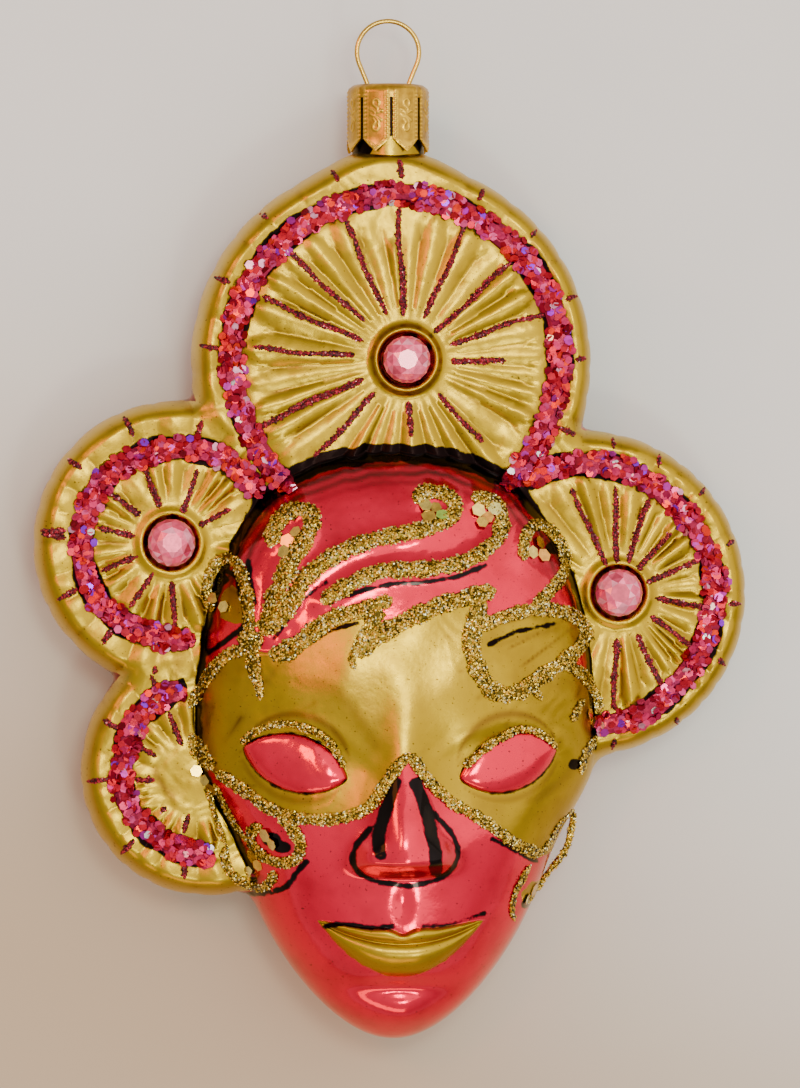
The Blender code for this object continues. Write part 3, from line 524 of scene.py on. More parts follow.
def back(x, y):
    """Depth of the back: the fans' or the head's, cut off by the flat that it lies on."""
    return np.minimum(np.maximum(FAN_BACK * rim(x, y), BACK_DOME * head_dome(x, y)), SEAM_HEIGHT)


# Lines on the face: places in millimetres from the middle of the outline, as seen from the leaning sight line

def run_along(points):
    """The length of a line of points up to each of them."""
    return np.concatenate([[0], np.cumsum(np.hypot(*np.diff(points, axis=0).T))])


def even_line(points, step):
    """Stations at even steps along a line of points."""
    run = run_along(points)
    at = np.linspace(0, run[-1], max(4, round(run[-1] / step)))
    return np.column_stack([np.interp(at, run, column) for column in points.T])


def smooth_path(points, step):
    """A cubic curve through chosen points, whose slope at each is that between its neighbours."""
    points = np.asarray(points, float)
    ends = np.vstack([2 * points[0] - points[1], points, 2 * points[-1] - points[-2]])
    share = np.linspace(0, 1, 12, endpoint=False)[:, None]
    pieces = [
        b + share * (c - a) / 2 + share**2 * (a - 2.5 * b + 2 * c - d / 2)
        + share**3 * (-a / 2 + 1.5 * b - 1.5 * c + d / 2)
        for a, b, c, d in zip(ends, ends[1:], ends[2:], ends[3:])
    ]
    return even_line(np.vstack([*pieces, points[-1:]]), step)


def under_sight(path):
    """The plan places under a path seen along the leaning line of sight, found by repeating the shift."""
    plan = np.array(path)
    for _ in range(8):
        plan[:, 0] = path[:, 0] - front(plan[:, 0], plan[:, 1]) * math.tan(math.radians(SIGHT_LEAN))
    return plan


def seen_line(points, step=1.0 * MM):
    return under_sight(smooth_path(np.array(points) * MM, step))


class Trail(NamedTuple):
    node: str  # of the frame that it stands for, or nothing
    start_width: float
    end_width: float
    ridge: bool  # whether the glass rises under it
    points: tuple


TRAILS = (
    Trail("gold_trail_crest_left", 3.6, 2.5, True, (
        (-20.4, -17.2), (-18.4, -10.2), (-16.0, -4.7), (-13.3, -0.4), (-12.9, 2.6), (-15.4, 3.4),
        (-18.4, 1.4), (-19.8, -2.8),
    )),
    Trail("gold_trail_temple_left", 2.1, 1.8, True, (
        (-23.0, -16.6), (-23.6, -10.4), (-25.4, -5.2), (-28.4, -5.4), (-30.2, -9.4), (-29.4, -13.4),
    )),
    Trail("gold_trail_crest_middle", 3.0, 2.6, True, (
        (-18.6, -15.4), (-16.2, -12.2), (-14.2, -8.4), (-10.0, -4.8), (-3.4, -1.9), (5.8, 0.2), (10.4, 2.6),
        (9.8, 5.4), (5.8, 6.2), (4.0, 4.4),
    )),
    Trail("gold_trail_crest_right", 2.8, 2.6, True, (
        (-11.2, -11.9), (-7.3, -9.3), (-1.7, -6.8), (4.9, -6.5), (11.5, -5.4), (17.2, -1.9),
        (18.2, 2.7), (16.0, 5.0), (13.2, 5.2),
    )),
    Trail("gold_trail_brow_left", 3.4, 2.4, False, (
        (-19.8, -20.0), (-17.4, -20.0), (-14.6, -18.2), (-9.6, -14.4), (-4.2, -13.0), (0.3, -11.2),
    )),
    Trail("gold_trail_brow_middle", 3.1, 2.8, False, (
        (-5.6, -20.6), (-3.6, -18.4), (0.8, -15.6), (7.8, -12.4), (12.6, -11.0), (17.2, -9.9),
    )),
    Trail("gold_trail_brow_right", 3.2, 2.0, False, (
        (14.9, -11.8), (13.2, -17.4), (14.2, -22.6), (17.0, -26.4), (20.4, -26.6), (25.0, -23.8),
        (30.2, -20.2), (32.4, -16.8), (29.6, -13.8), (23.6, -13.0), (17.4, -14.6), (14.6, -16.2),
    )),
    Trail("gold_trail_temple_right", 2.3, 2.0, True, (
        (23.4, -12.8), (25.6, -10.6), (28.4, -7.4), (28.6, -3.6), (26.6, -0.2), (23.8, 0.8), (22.0, -1.4),
        (21.8, -5.0),
    )),
    Trail("gold_trail_nose", 2.0, 1.9, False, (
        (-28.6, -39.6), (-23.6, -42.8), (-19.4, -45.6), (-14.4, -46.9), (-8.2, -46.8), (-3.4, -44.8),
        (-0.6, -40.6), (3.0, -36.8), (6.2, -40.6), (10.0, -44.2), (15.4, -47.4), (20.6, -51.2), (25.0, -53.4),
    )),
    Trail("gold_trail_cheek_left", 2.0, 1.7, False, (
        (-18.2, -46.7), (-16.6, -48.0), (-15.2, -49.7), (-14.6, -51.6), (-15.2, -53.3), (-16.9, -54.3),
        (-19.0, -54.1), (-21.2, -53.1), (-22.8, -51.3), (-22.7, -49.0), (-21.0, -48.2),
    )),
    Trail("", 5.6, 4.6, False, ((-24.2, -16.6), (-23.0, -18.2), (-21.4, -19.6))),
    Trail("", 2.9, 1.0, False, ((-22.7, -20.0), (-22.2, -23.3), (-21.5, -25.8), (-21.2, -27.6))),
    Trail("", 3.2, 1.0, False, ((-1.6, -12.6), (-3.0, -15.2), (-5.0, -18.4), (-6.3, -20.8), (-5.8, -22.6))),
    Trail("", 2.0, 1.6, False, (
        (-24.0, -19.7), (-26.1, -20.0), (-27.8, -21.2), (-29.2, -23.0), (-30.6, -25.0), (-31.7, -26.9),
        (-33.0, -29.2),
    )),
    Trail("", 2.2, 1.6, False, ((28.7, -22.0), (31.2, -23.3), (33.2, -25.8), (34.3, -28.3), (34.5, -30.2))),
    Trail("", 1.6, 1.3, False, ((32.0, -27.8), (30.9, -29.2), (29.9, -31.5))),
    Trail("", 1.7, 1.4, False, ((34.0, -34.0), (32.5, -36.2), (31.7, -38.1), (31.5, -40.1))),
    Trail("", 2.6, 2.2, False, ((-32.7, -33.4), (-31.8, -35.6), (-30.6, -37.4), (-29.2, -39.2))),
    Trail("", 1.6, 1.5, False, (
        (-26.8, -51.8), (-27.3, -53.8), (-26.1, -56.3), (-24.0, -58.1), (-22.0, -58.7), (-19.9, -57.9),
        (-19.0, -55.6),
    )),
    Trail("", 1.0, 0.8, False, ((-30.2, -42.0), (-28.9, -46.4), (-27.8, -49.7), (-27.1, -51.6))),
    Trail("", 1.0, 0.8, False, ((-28.9, -41.6), (-26.8, -46.0), (-25.1, -48.8), (-23.5, -51.0))),
    Trail("", 1.4, 1.0, False, ((24.6, -53.3), (26.6, -51.0), (27.9, -48.5), (30.4, -46.2))),
    Trail("", 1.2, 1.0, False, (
        (30.4, -46.6), (29.6, -51.3), (28.4, -53.8), (26.3, -56.3), (24.6, -58.7), (22.6, -61.4),
    )),
    Trail("", 1.2, 0.9, False, ((23.0, -54.9), (21.7, -57.1), (20.5, -59.6), (20.0, -62.0), (20.5, -64.2))),
    Trail("", 1.5, 0.9, False, ((22.6, -25.2), (23.8, -26.4), (24.8, -27.8))),
    Trail("", 1.3, 1.1, False, (
        (-24.5, -34.8), (-22.3, -32.9), (-19.9, -32.0), (-16.6, -31.5), (-13.3, -32.4), (-10.8, -33.7),
        (-9.1, -35.7), (-7.5, -38.6),
    )),
    Trail("", 1.3, 1.1, False, (
        (11.8, -38.6), (13.9, -36.8), (16.4, -34.8), (18.9, -33.4), (21.3, -32.5), (23.8, -32.9),
        (26.3, -34.5), (27.3, -35.8),
    )),
)

HALF_MASK = (
    (-33.0, -29.2), (-30.6, -25.0), (-27.8, -21.2), (-24.0, -19.7), (-19.0, -20.0), (-14.9, -18.0),
    (-11.6, -15.4), (-7.5, -13.8), (-4.2, -12.9), (-2.4, -13.6), (-3.0, -16.4), (-0.1, -16.2), (4.9, -13.4),
    (8.2, -12.1), (14.7, -10.3), (15.9, -12.1), (15.4, -15.1), (19.7, -13.8), (26.3, -13.3), (29.6, -13.9),
    (32.0, -15.1), (32.5, -16.7), (30.1, -21.7), (33.2, -25.8), (34.8, -31.5), (36.0, -38.0), (33.5, -46.0),
    (29.0, -52.0), (25.5, -53.5), (20.5, -51.0), (15.6, -47.5), (10.6, -44.2), (6.5, -40.6), (3.0, -36.7),
    (-0.1, -39.5), (-3.4, -44.7), (-8.3, -46.7), (-14.9, -46.9), (-20.2, -45.2), (-27.3, -40.6),
    (-32.0, -38.1), (-34.5, -34.0),
)
LEAVES = (
    (
        (-27.8, -10.5), (-26.1, -9.1), (-24.3, -10.1), (-23.5, -12.6), (-23.1, -15.1), (-25.6, -15.4),
        (-27.8, -14.2),
    ),
    ((21.4, -59.4), (23.4, -57.6), (25.2, -57.8), (23.8, -60.2), (21.8, -61.6)),
)
BLACK_SPOTS = (  # x, y and radius of dabs of black lacquer
    (-27.6, -8.2, 1.2), (-19.4, -50.4, 1.5), (-17.6, -51.6, 1.3), (26.6, -3.0, 1.3), (24.6, -61.0, 1.4),
    (22.4, -61.4, 1.1), (30.2, -38.4, 1.2),
)
BLACK_AND_SHADE_LINES = (  # width and places of dark lines by the nose, lips and scrolls; some are painted shadows
    (2.0, ((0.8, -40.9), (-0.2, -43.9), (-1.2, -46.8), (-1.9, -49.7), (-1.6, -52.4))),
    (0.9, ((-3.2, -48.4), (-5.1, -50.6), (-6.2, -52.9), (-5.6, -55.0), (-3.6, -56.6), (-0.7, -57.4))),
    (2.2, ((4.2, -41.1), (5.6, -44.8), (6.5, -48.4), (7.3, -51.9), (7.5, -55.2))),
    (0.9, (
        (7.2, -46.1), (9.3, -48.4), (10.8, -51.0), (10.9, -53.5), (9.6, -55.5), (7.0, -57.0), (3.1, -57.8),
        (-0.7, -57.4),
    )),
    (0.8, ((-10.7, -64.5), (-7.2, -64.1), (-3.3, -64.6), (0.6, -64.4))),
    (0.6, ((5.4, -64.3), (9.0, -64.3), (12.2, -63.4), (15.3, -62.5))),
    # Painted shade along the left cheek
    (0.9, ((-23.3, -59.9), (-19.8, -59.2), (-16.9, -58.1), (-15.5, -56.0), (-13.6, -53.9))),
    # A painted shadow under the crest's trail
    (0.8, ((-8.6, -11.3), (-4.0, -9.8), (0.6, -8.9), (5.7, -8.6), (10.9, -7.6), (15.4, -5.9))),
    (0.7, ((16.1, -18.7), (19.9, -16.9), (23.2, -16.1), (26.7, -15.4))),
    (0.7, ((-12.5, -18.0), (-9.1, -16.2), (-5.3, -15.2))),
    (0.8, (
        (-29.0, -9.1), (-27.3, -6.9), (-25.4, -7.8), (-24.4, -11.2), (-23.9, -15.4), (-26.6, -17.9),
        (-30.2, -20.3),
    )),
    (0.8, ((-23.3, -5.1), (-22.8, -8.3), (-22.0, -12.2))),
    (0.6, ((-18.9, -17.9), (-16.9, -14.8), (-13.6, -10.9), (-10.4, -8.6))),
    # A painted shadow under the trail on the right cheek
    (0.8, ((16.7, -50.3), (20.6, -52.4), (24.1, -54.3))),
)
SHADE_STROKES = (  # strength, half width and places of brown strokes of painted shade by the nose, eyes and crease
    # A painted reflection in a groove by the lower left hub
    (0.9, 0.6, ((-38.6, -39.4), (-37.6, -41.6), (-35.6, -43.8))),
    (0.6, 1.1, ((-33.4, -17.0), (-35.0, -22.0), (-35.4, -28.0))),
    (0.5, 1.4, ((-14.6, -24.6), (-9.0, -26.0), (-5.0, -30.4), (-2.6, -34.8))),
    (0.4, 1.6, ((-8.6, -22.4), (-4.6, -26.4), (-2.0, -31.0))),
    (0.4, 1.0, ((22.6, -44.0), (27.0, -42.0), (30.4, -38.6))),
    (0.45, 0.8, ((17.2, -18.8), (22.0, -17.4), (27.0, -16.2))),
)
SEQUINS = (
    (-16.9, -1.9), (-17.5, -3.6), (-15.6, -0.4), (-29.1, -11.2), (-27.4, -12.6), (5.7, 4.0), (7.4, 3.6),
    (6.2, 2.2), (8.4, 2.4), (14.4, 3.2), (15.9, 2.0), (17.0, 3.4), (15.0, 1.2), (24.6, -2.1), (23.3, -3.7),
    (25.2, -4.2), (32.9, -30.2), (33.5, -31.6), (-31.9, -39.5), (-30.5, -41.0), (-29.5, -42.5),
    (-19.5, -51.2), (-20.6, -49.8), (-22.8, -53.3), (-21.8, -54.8), (-23.3, -56.0), (23.7, -59.2),
    (22.6, -60.6),
)


def line_distance(x, y, path):
    """Distance to a line of stations: the least of the distances to its straight parts."""
    least = np.full(x.shape, 1.0)
    for (ax, ay), (bx, by) in zip(path[:-1], path[1:]):
        run = max((bx - ax) ** 2 + (by - ay) ** 2, 1e-16)
        share = np.clip(((x - ax) * (bx - ax) + (y - ay) * (by - ay)) / run, 0, 1)
        least = np.minimum(least, np.hypot(x - ax - share * (bx - ax), y - ay - share * (by - ay)))
    return least


def area_distance(x, y, corners):
    """Distance inside a closed line, below 0 outside: a place is inside where it crosses it oddly often."""
    loop = np.vstack([corners, corners[:1]])
    inside = np.zeros(x.shape, bool)
    for (ax, ay), (bx, by) in zip(loop[:-1], loop[1:]):
        if ay != by:
            crosses = ((ay > y) != (by > y)) & (x < (bx - ax) * (y - ay) / (by - ay) + ax)
            inside ^= crosses
    return np.where(inside, 1, -1) * line_distance(x, y, loop)


MASK_LINE = under_sight(np.array(HALF_MASK) * MM)
LEAF_LINES = [under_sight(np.array(leaf) * MM) for leaf in LEAVES]
BLACK_AND_SHADE_PATHS = [(width * MM, seen_line(points, 0.8 * MM)) for width, points in BLACK_AND_SHADE_LINES]
SHADE_STROKE_PATHS = [(strength, width * MM, seen_line(points)) for strength, width, points in SHADE_STROKES]
TRAIL_LINES = [seen_line(trail.points) for trail in TRAILS]
RIDGE_LINES = [line[::2] for line, trail in zip(TRAIL_LINES, TRAILS) if trail.ridge]


def face_detail(x, y):
    """What moulding adds to the head: a ridge under each scroll and a step at the half mask's edge."""
    near = np.min([line_distance(x, y, line) for line in RIDGE_LINES], axis=0)
    step = MASK_STEP * smooth_step(area_distance(x, y, MASK_LINE), -0.6 * MM, 0.6 * MM)
    return (RIDGE_RISE * hump(near, RIDGE_WIDTH) + step) * smooth_step(head_dome(x, y), 0.1, 0.4)


def waves(x, y):
    """Soft unevenness: two crossed sine waves of about 9 and 14 mm, bent by each other."""
    a = x / (1.5 * MM)
    b = y / (2.2 * MM)
    broad = np.sin(a + 1.7 * np.sin(b / 2.3)) + np.sin(b + 1.3 * np.sin(a / 1.9))
    fine = np.sin(2.3 * a + 2.1 * np.sin(1.7 * b)) * np.sin(3.1 * b + 1.9 * np.sin(1.3 * a))
    return WAVE_RISE * (broad + 0.35 * fine * smooth_step(within_fans(x, y), 0, MM))


def glass_front(x, y):
    """Height of the finished front above the seam: the fans or the detailed head, with soft waves."""
    head = head_front(x, y)
    on_head = head > 0
    head[on_head] += face_detail(x[on_head], y[on_head])
    high = np.maximum(fan_front(x, y), head) + waves(x, y) * rim(x, y)
    return high - NOSE_FIT * smooth_step(high, 24.5 * MM, 26.5 * MM)


def glass_back(x, y):
    return -back(x, y)


def unit(vectors):
    """The vectors, each at length 1."""
    return vectors / np.linalg.norm(vectors, axis=1)[:, None]


def slope_normals(height, x, y, step):
    """Unit normals of a height over the plan."""
    slope_x, slope_y = slopes(height, x, y, step)
    return unit(np.column_stack([-slope_x, -slope_y, np.ones_like(x)]))


def on_glass(plan, lift=0.0):
    """Places of the plan raised onto the front of the glass, in the frame."""
    x, y = plan.T
    return np.column_stack([x, y, glass_front(x, y) + lift]) + SHIFT


# Rows of points that the glass is drawn through

STAR = (-5.0 * MM, -11.8 * MM)  # the whole outline can be seen from here
PLAN_REACH = 100 * MM  # a square of this half width holds the whole plan
HEAD_MIDDLE = np.array((HEAD_X, HEAD_Y))
RIM_ROWS = 9
BACK_RIM_ROWS = 5
CREASE_SPACING = 0.45 * MM
CREASE_SIDE = 0.4 * MM  # distance of the rows beside the crease
LINE_SPACING = 0.3 * MM  # along the lips and the eyes
LINE_SIDE = 0.2 * MM


def spaced(points, spacing):
    """A closed line of points, made even."""
    loop = np.vstack([points, points[:1]])
    run = run_along(loop)
    count = round(run[-1] / spacing)
    at = np.arange(count) * run[-1] / count
    return np.column_stack([np.interp(at, run, column) for column in loop.T])


def ring_where(inside, centre, near, spacing):
    """The closed line where a test turns false, found along rays from a centre by halving."""
    angle = np.linspace(0, 2 * math.pi, 2880, endpoint=False)
    near = np.full_like(angle, near)
    far = np.full_like(angle, 2 * (HEAD_HALF_HEIGHT + FANS[0].radius))
    for _ in range(36):
        middle = (near + far) / 2
        hit = inside(centre[0] + middle * np.cos(angle), centre[1] + middle * np.sin(angle))
        near = np.where(hit, middle, near)
        far = np.where(hit, far, middle)
    points = np.column_stack([centre[0] + near * np.cos(angle), centre[1] + near * np.sin(angle)])
    return spaced(points, spacing)


def moved(points, inset):
    """The points of the outline, each moved straight in to a distance inside it."""
    points = points.copy()
    for _ in range(12):
        slope = np.stack(slopes(body_inset, *points.T, SLOPE_STEP))
        short = (inset - body_inset(*points.T)) / (slope**2).sum(axis=0)
        points += 0.7 * (short * slope).T
    return points


def rim_rows(outline, count):
    """Rows inside the outline at the insets that divide the rim's quarter ellipse evenly."""
    turn = np.arange(1, count + 1) / count * math.pi / 2
    return np.vstack([moved(outline, inset) for inset in RIM_WIDTH * (1 - np.cos(turn))])


def fan_rows(fan, spacing):
    """Circles of points round the hub, with a whole and even number of them to each pleat."""
    rows = []
    collar = (SEAT_RADIUS - 0.6 * MM, LIP_RADIUS + 0.4 * MM)
    radii = np.concatenate([
        np.arange(0.5 * MM, collar[0], spacing), np.arange(*collar, 0.25 * MM),
        np.arange(collar[1], 2.2 * fan.radius, spacing),
    ])
    for radius in radii:
        to_pleat = 2 * np.clip(round(math.pi * radius / fan.pleats / spacing), 1, 7)
        if radius < collar[0]:
            to_pleat = 1
        turn = np.arange(fan.pleats * to_pleat) / (fan.pleats * to_pleat) * 2 * math.pi
        rows.append(np.column_stack([fan.hub_x + radius * np.cos(turn), fan.hub_y + radius * np.sin(turn)]))
    points = np.vstack(rows)
    own = fan_inset(fan, *points.T)
    others = np.max([fan_inset(other, *points.T) for other in FANS if other is not fan], axis=0)
    return points[own > others]


def face_rows():
    """Points along and close beside the line between the lips, the lips' edges and the eyes' outlines."""
    share = np.linspace(-1, 1, 160)
    u = MOUTH_HALF_WIDTH * share
    upper_edge, lower_edge = lip_edges(u, np.abs(share))
    middle = MOUTH_V + MOUTH_LIFT * share**2
    lines = [np.column_stack([u, middle + edge]) for edge in (0 * u, upper_edge, -lower_edge)]
    turn = np.linspace(0, 2 * math.pi, 240)
    along = EYE_HALF_LENGTH * np.cos(turn)
    across = EYE_HALF_HEIGHT * np.sign(np.sin(turn)) * np.abs(np.sin(turn)) ** (2 * EYE_POWER)
    out = EYE_U + along * math.cos(EYE_TILT) - across * math.sin(EYE_TILT)
    up = along * math.sin(EYE_TILT) + across * math.cos(EYE_TILT)
    up = EYE_V + up * HEAD_HALF_WIDTH / HEAD_HALF_HEIGHT
    lines += [np.column_stack([side * out, up]) for side in (-1, 1)]
    kept = np.zeros((1, 2))
    for line in lines:
        path = even_line(line * (HEAD_HALF_WIDTH, HEAD_HALF_HEIGHT) + HEAD_MIDDLE, LINE_SPACING)
        beside = LINE_SIDE * path_frame(path)
        for row in (path, path + beside, path - beside):
            kept = np.vstack([kept, clear_of(row, kept, 0.12 * MM)])
    return kept[1:]


def lattice(spacing, low, high):
    """A grid of points in staggered rows between two corners."""
    rows = np.arange(low[1], high[1], spacing * math.sqrt(3) / 2)
    columns = np.arange(low[0], high[0], spacing)
    x, y = np.meshgrid(columns, rows)
    x = x + (np.arange(len(rows)) % 2)[:, None] * spacing / 2
    return np.column_stack([x.ravel(), y.ravel()])


def cells_of(points, size):
    """The square cells of a fine raster that points fall in."""
    return np.floor((points + PLAN_REACH) / size).astype(int)


def clear_of(points, taken, least):
    """The points whose cells and neighbouring cells hold none of the taken ones."""
    size = least / 1.5
    width = int(2 * PLAN_REACH / size) + 2
    full = np.zeros((width, width), bool)
    cells = cells_of(taken, size)
    for dx in (-1, 0, 1):
        for dy in (-1, 0, 1):
            full[cells[:, 0] + dx, cells[:, 1] + dy] = True
    cells = cells_of(points, size)
    return points[~full[cells[:, 0], cells[:, 1]]]


def drawn(outline, inner, height):
    """Triangles over the plan inside the outline, and their corners raised to a height."""
    flat = list(map(Vector, (np.vstack([outline, inner]) / MM).tolist()))
    corners, _, faces, *_ = delaunay_2d_cdt(flat, [], [range(len(outline))], 1, 1e-6)
    plan = np.array(corners) * MM
    z = np.zeros(len(plan))
    z[len(outline):] = height(*plan[len(outline):].T)
    return np.column_stack([plan, z]), np.array(faces)


# Meshes and pieces

def flat_list(groups):
    return [corner for group in groups for corner in group.tolist()]


class Heap:
    """Closed shells gathered into one mesh, each point with its colour."""

    def __init__(self):
        self.points = []
        self.faces = []
        self.tints = []
        self.count = 0

    def add(self, points, faces, tint):
        """Takes a shell's points, its faces and one colour or a colour for each point."""
        self.points.append(points)
        self.faces += flat_list(face + self.count for face in faces)
        self.tints.append(np.broadcast_to(tint, (len(points), 3)))
        self.count += len(points)

    def piece(self, name, finish, node_names, slot, smooth=False):
        thing = new_piece(name, np.vstack(self.points), self.faces, finish, node_names, smooth)
        give_tint(thing.data, np.vstack(self.tints))
        return thing


def new_piece(name, points, faces, finish, node_names, smooth=True):
    """An object at the origin with its place in its mesh, on the one body; the frame's parts it stands for
    are hidden.
    """
    mesh = bpy.data.meshes.new(name)
    mesh.from_pydata(points, [], faces)
    mesh.polygons.foreach_set("use_smooth", np.full(len(mesh.polygons), smooth))
    thing = bpy.data.objects.new(name, mesh)
    bpy.context.scene.collection.objects.link(thing)
    mesh.materials.append(finish)
    mesh.update()
    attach(thing, "root")
    if node_names:
        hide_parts(*node_names)
    return thing


def give_tint(mesh, values, domain="POINT"):
    """Keeps a colour for each point, or for each corner of the faces."""
    layer = mesh.color_attributes.new("tint", "FLOAT_COLOR", domain)
    colours = np.column_stack([values, np.ones(len(values))])
    layer.data.foreach_set("color", colours.astype(np.float32).ravel())


def give_number(mesh, name, values):
    layer = mesh.attributes.new(name, "FLOAT", "POINT")
    layer.data.foreach_set("value", values.astype(np.float32))


def tube(rings):
    """A closed skin over rings of points along a path: four-sided faces between them, a fan at each end.

    rings has a row for each station and a column for each point round it.
    """
    rows, columns = rings.shape[:2]
    corner = np.arange(rows * columns).reshape(rows, columns)
    a, b = corner[:-1], corner[1:]
    sides = np.stack([a, b, np.roll(b, -1, axis=1), np.roll(a, -1, axis=1)], axis=-1).reshape(-1, 4)
    points = np.vstack([rings.reshape(-1, 3), rings[0].mean(axis=0), rings[-1].mean(axis=0)])
    first, last = corner[0], corner[-1]
    start = np.column_stack([first, np.roll(first, -1), np.full(columns, rows * columns)])
    end = np.column_stack([np.roll(last, -1), last, np.full(columns, rows * columns + 1)])
    return points, [sides, start, end]


def path_frame(path):
    """Unit vectors to the left of a plan path at each station."""
    run = np.gradient(path, axis=0)
    run = run / np.hypot(*run.T)[:, None]
    return np.column_stack([-run[:, 1], run[:, 0]])


def rounded_widths(path, start, end):
    """Half widths from a start to an end width, drawn in to round ends."""
    run = run_along(path)
    half = np.linspace(start, end, len(path)) / 2
    for past, width in ((run, half[0]), (run[-1] - run, half[-1])):
        half = half * np.sqrt(np.clip(1 - (1 - np.clip(past / width, 0, 1)) ** 2, 0.02, 1))
    return half


def bead(path, half_widths, height, columns=7):
    """A low bead on the glass along a plan path: half an ellipse across, its foot just under the surface."""
    turn = np.linspace(math.pi, 0, columns)
    across = np.concatenate([np.cos(turn), (0.5, -0.5)])
    lift = np.concatenate([np.sin(turn) * height, (-0.2 * MM, -0.2 * MM)])
    lift[[0, columns - 1]] = -0.15 * MM
    left = path_frame(path)
    plan = path[:, None] - left[:, None] * (across[:, None] * half_widths[:, None, None])
    raised = on_glass(plan.reshape(-1, 2)).reshape(*plan.shape[:2], 3)
    raised[:, :, 2] += lift * np.clip(half_widths / half_widths.max() * 1.5, 0, 1)[:, None]
    return tube(raised)


def across_frames(normals, spin):
    """Two unit vectors square to each normal, turned round it by an angle."""
    side = unit(np.cross(normals, (0.3, 1.0, 0.2)))
    other = np.cross(normals, side)
    cos, sin = np.cos(spin)[:, None], np.sin(spin)[:, None]
    return cos * side + sin * other, cos * other - sin * side


def flakes(centres, normals, spin, radius, thickness):
    """Flat hexagons: six corners under and six over, with two four-sided faces to each flat side."""
    u, v = across_frames(normals, spin)
    turn = np.arange(6) * math.pi / 3
    ring = radius[:, None, None] * (np.cos(turn)[:, None] * u[:, None] + np.sin(turn)[:, None] * v[:, None])
    half = (normals * thickness / 2)[:, None]
    points = np.concatenate([centres[:, None] + ring - half, centres[:, None] + ring + half], axis=1)
    around = np.arange(6)
    after = (around + 1) % 6
    sides = np.column_stack([around, after, after + 6, around + 6])
    flat = np.array([(6, 7, 8, 9), (6, 9, 10, 11), (3, 2, 1, 0), (5, 4, 3, 0)])
    faces = np.vstack([sides, flat])[None] + 12 * np.arange(len(centres))[:, None, None]
    return points.reshape(-1, 3), [faces.reshape(-1, 4)]


def grains(centres, normals, spin, radius):
    """Flattened octahedra: four corners round and one above and below."""
    u, v = across_frames(normals, spin)
    r = radius[:, None]
    tip = normals * r * 0.5
    points = np.stack([centres + way for way in (u * r, v * r, -u * r, -v * r, tip, -tip)], axis=1)
    up = [(0, 1, 4), (1, 2, 4), (2, 3, 4), (3, 0, 4)]
    down = [(1, 0, 5), (2, 1, 5), (3, 2, 5), (0, 3, 5)]
    faces = np.array(up + down)[None] + 6 * np.arange(len(centres))[:, None, None]
    return points.reshape(-1, 3), [faces.reshape(-1, 3)]


def strewn(path, half_widths, height, count, tilt, random):
    """Random places on a bead and the ways they face: its round back, tipped at random."""
    station = np.sort(random.uniform(0, len(path) - 1, count))
    low = np.floor(station).astype(int)
    share = (station - low)[:, None]
    high = np.minimum(low + 1, len(path) - 1)
    left = path_frame(path)
    half = half_widths[low] + share[:, 0] * (half_widths[high] - half_widths[low])
    across = random.uniform(-1, 1, count)
    side = left[low]
    plan = path[low] + share * (path[high] - path[low]) + side * (across * half)[:, None]
    rise = height * np.sqrt(1 - 0.85 * across**2) * random.uniform(0.75, 1.15, count)
    centres = on_glass(plan, rise * np.clip(half / half_widths.max() * 1.5, 0, 1))
    normals = slope_normals(glass_front, *plan.T, 0.2 * MM)
    normals[:, :2] += side * (0.75 * across)[:, None]
    normals += tilt * random.normal(size=(count, 3)) * (1, 1, 0.3)
    return centres, unit(normals)


def picked(palette, count, random):
    """Colours drawn at random from a palette of codes and weights, each a little lighter or darker."""
    codes = np.array([linear(code) for code, _ in palette])
    weights = np.array([weight for _, weight in palette], float)
    choice = random.choice(len(codes), count, p=weights / weights.sum())
    return np.clip(codes[choice] * random.uniform(0.75, 1.2, (count, 1)), 0, 1)


# Finishes

def opaque(code):
    """A hex colour for a node's socket."""
    return (*linear(code), 1)


def set_inputs(node, inputs):
    """Sets a node's inputs: each is a value, or the output of another node, which is linked."""
    for key, value in inputs.items():
        if isinstance(value, bpy.types.NodeSocket):
            node.id_data.links.new(value, node.inputs[key])
        else:
            node.inputs[key].default_value = value


def add_node(tree, kind, inputs=None, output=0, stops=(), **settings):
    """The output, by number or name, of a new node with its settings and inputs. Stops fill a colour ramp."""
    node = tree.nodes.new("ShaderNode" + kind)
    for key, value in settings.items():
        setattr(node, key, value)
    set_inputs(node, inputs or {})
    if stops:
        elements = node.color_ramp.elements
        while len(elements) < len(stops):
            elements.new(0.5)
        for element, (place, code) in zip(elements, stops):
            element.position = place
            element.color = opaque(code)
    return node.outputs[output]


def new_finish(name, *noises):
    """A material, its node tree and shader, and a noise for each size in millimetres and detail."""
    finish = bpy.data.materials.new(name)
    finish.use_nodes = True
    tree = finish.node_tree
    place = add_node(tree, "TexCoord", output="Object")
    patterns = [
        add_node(tree, "TexNoise", {"Vector": place, "Scale": 1 / (size * MM), "Detail": detail})
        for size, detail in noises
    ]
    return finish, tree, tree.nodes["Principled BSDF"], *patterns


def coats(tree, under, *over):
    """A colour with others laid over it in turn, each by its share."""
    for share, colour in over:
        under = add_node(tree, "Mix", {0: share, 6: under, 7: colour}, 2, data_type="RGBA")
    return under


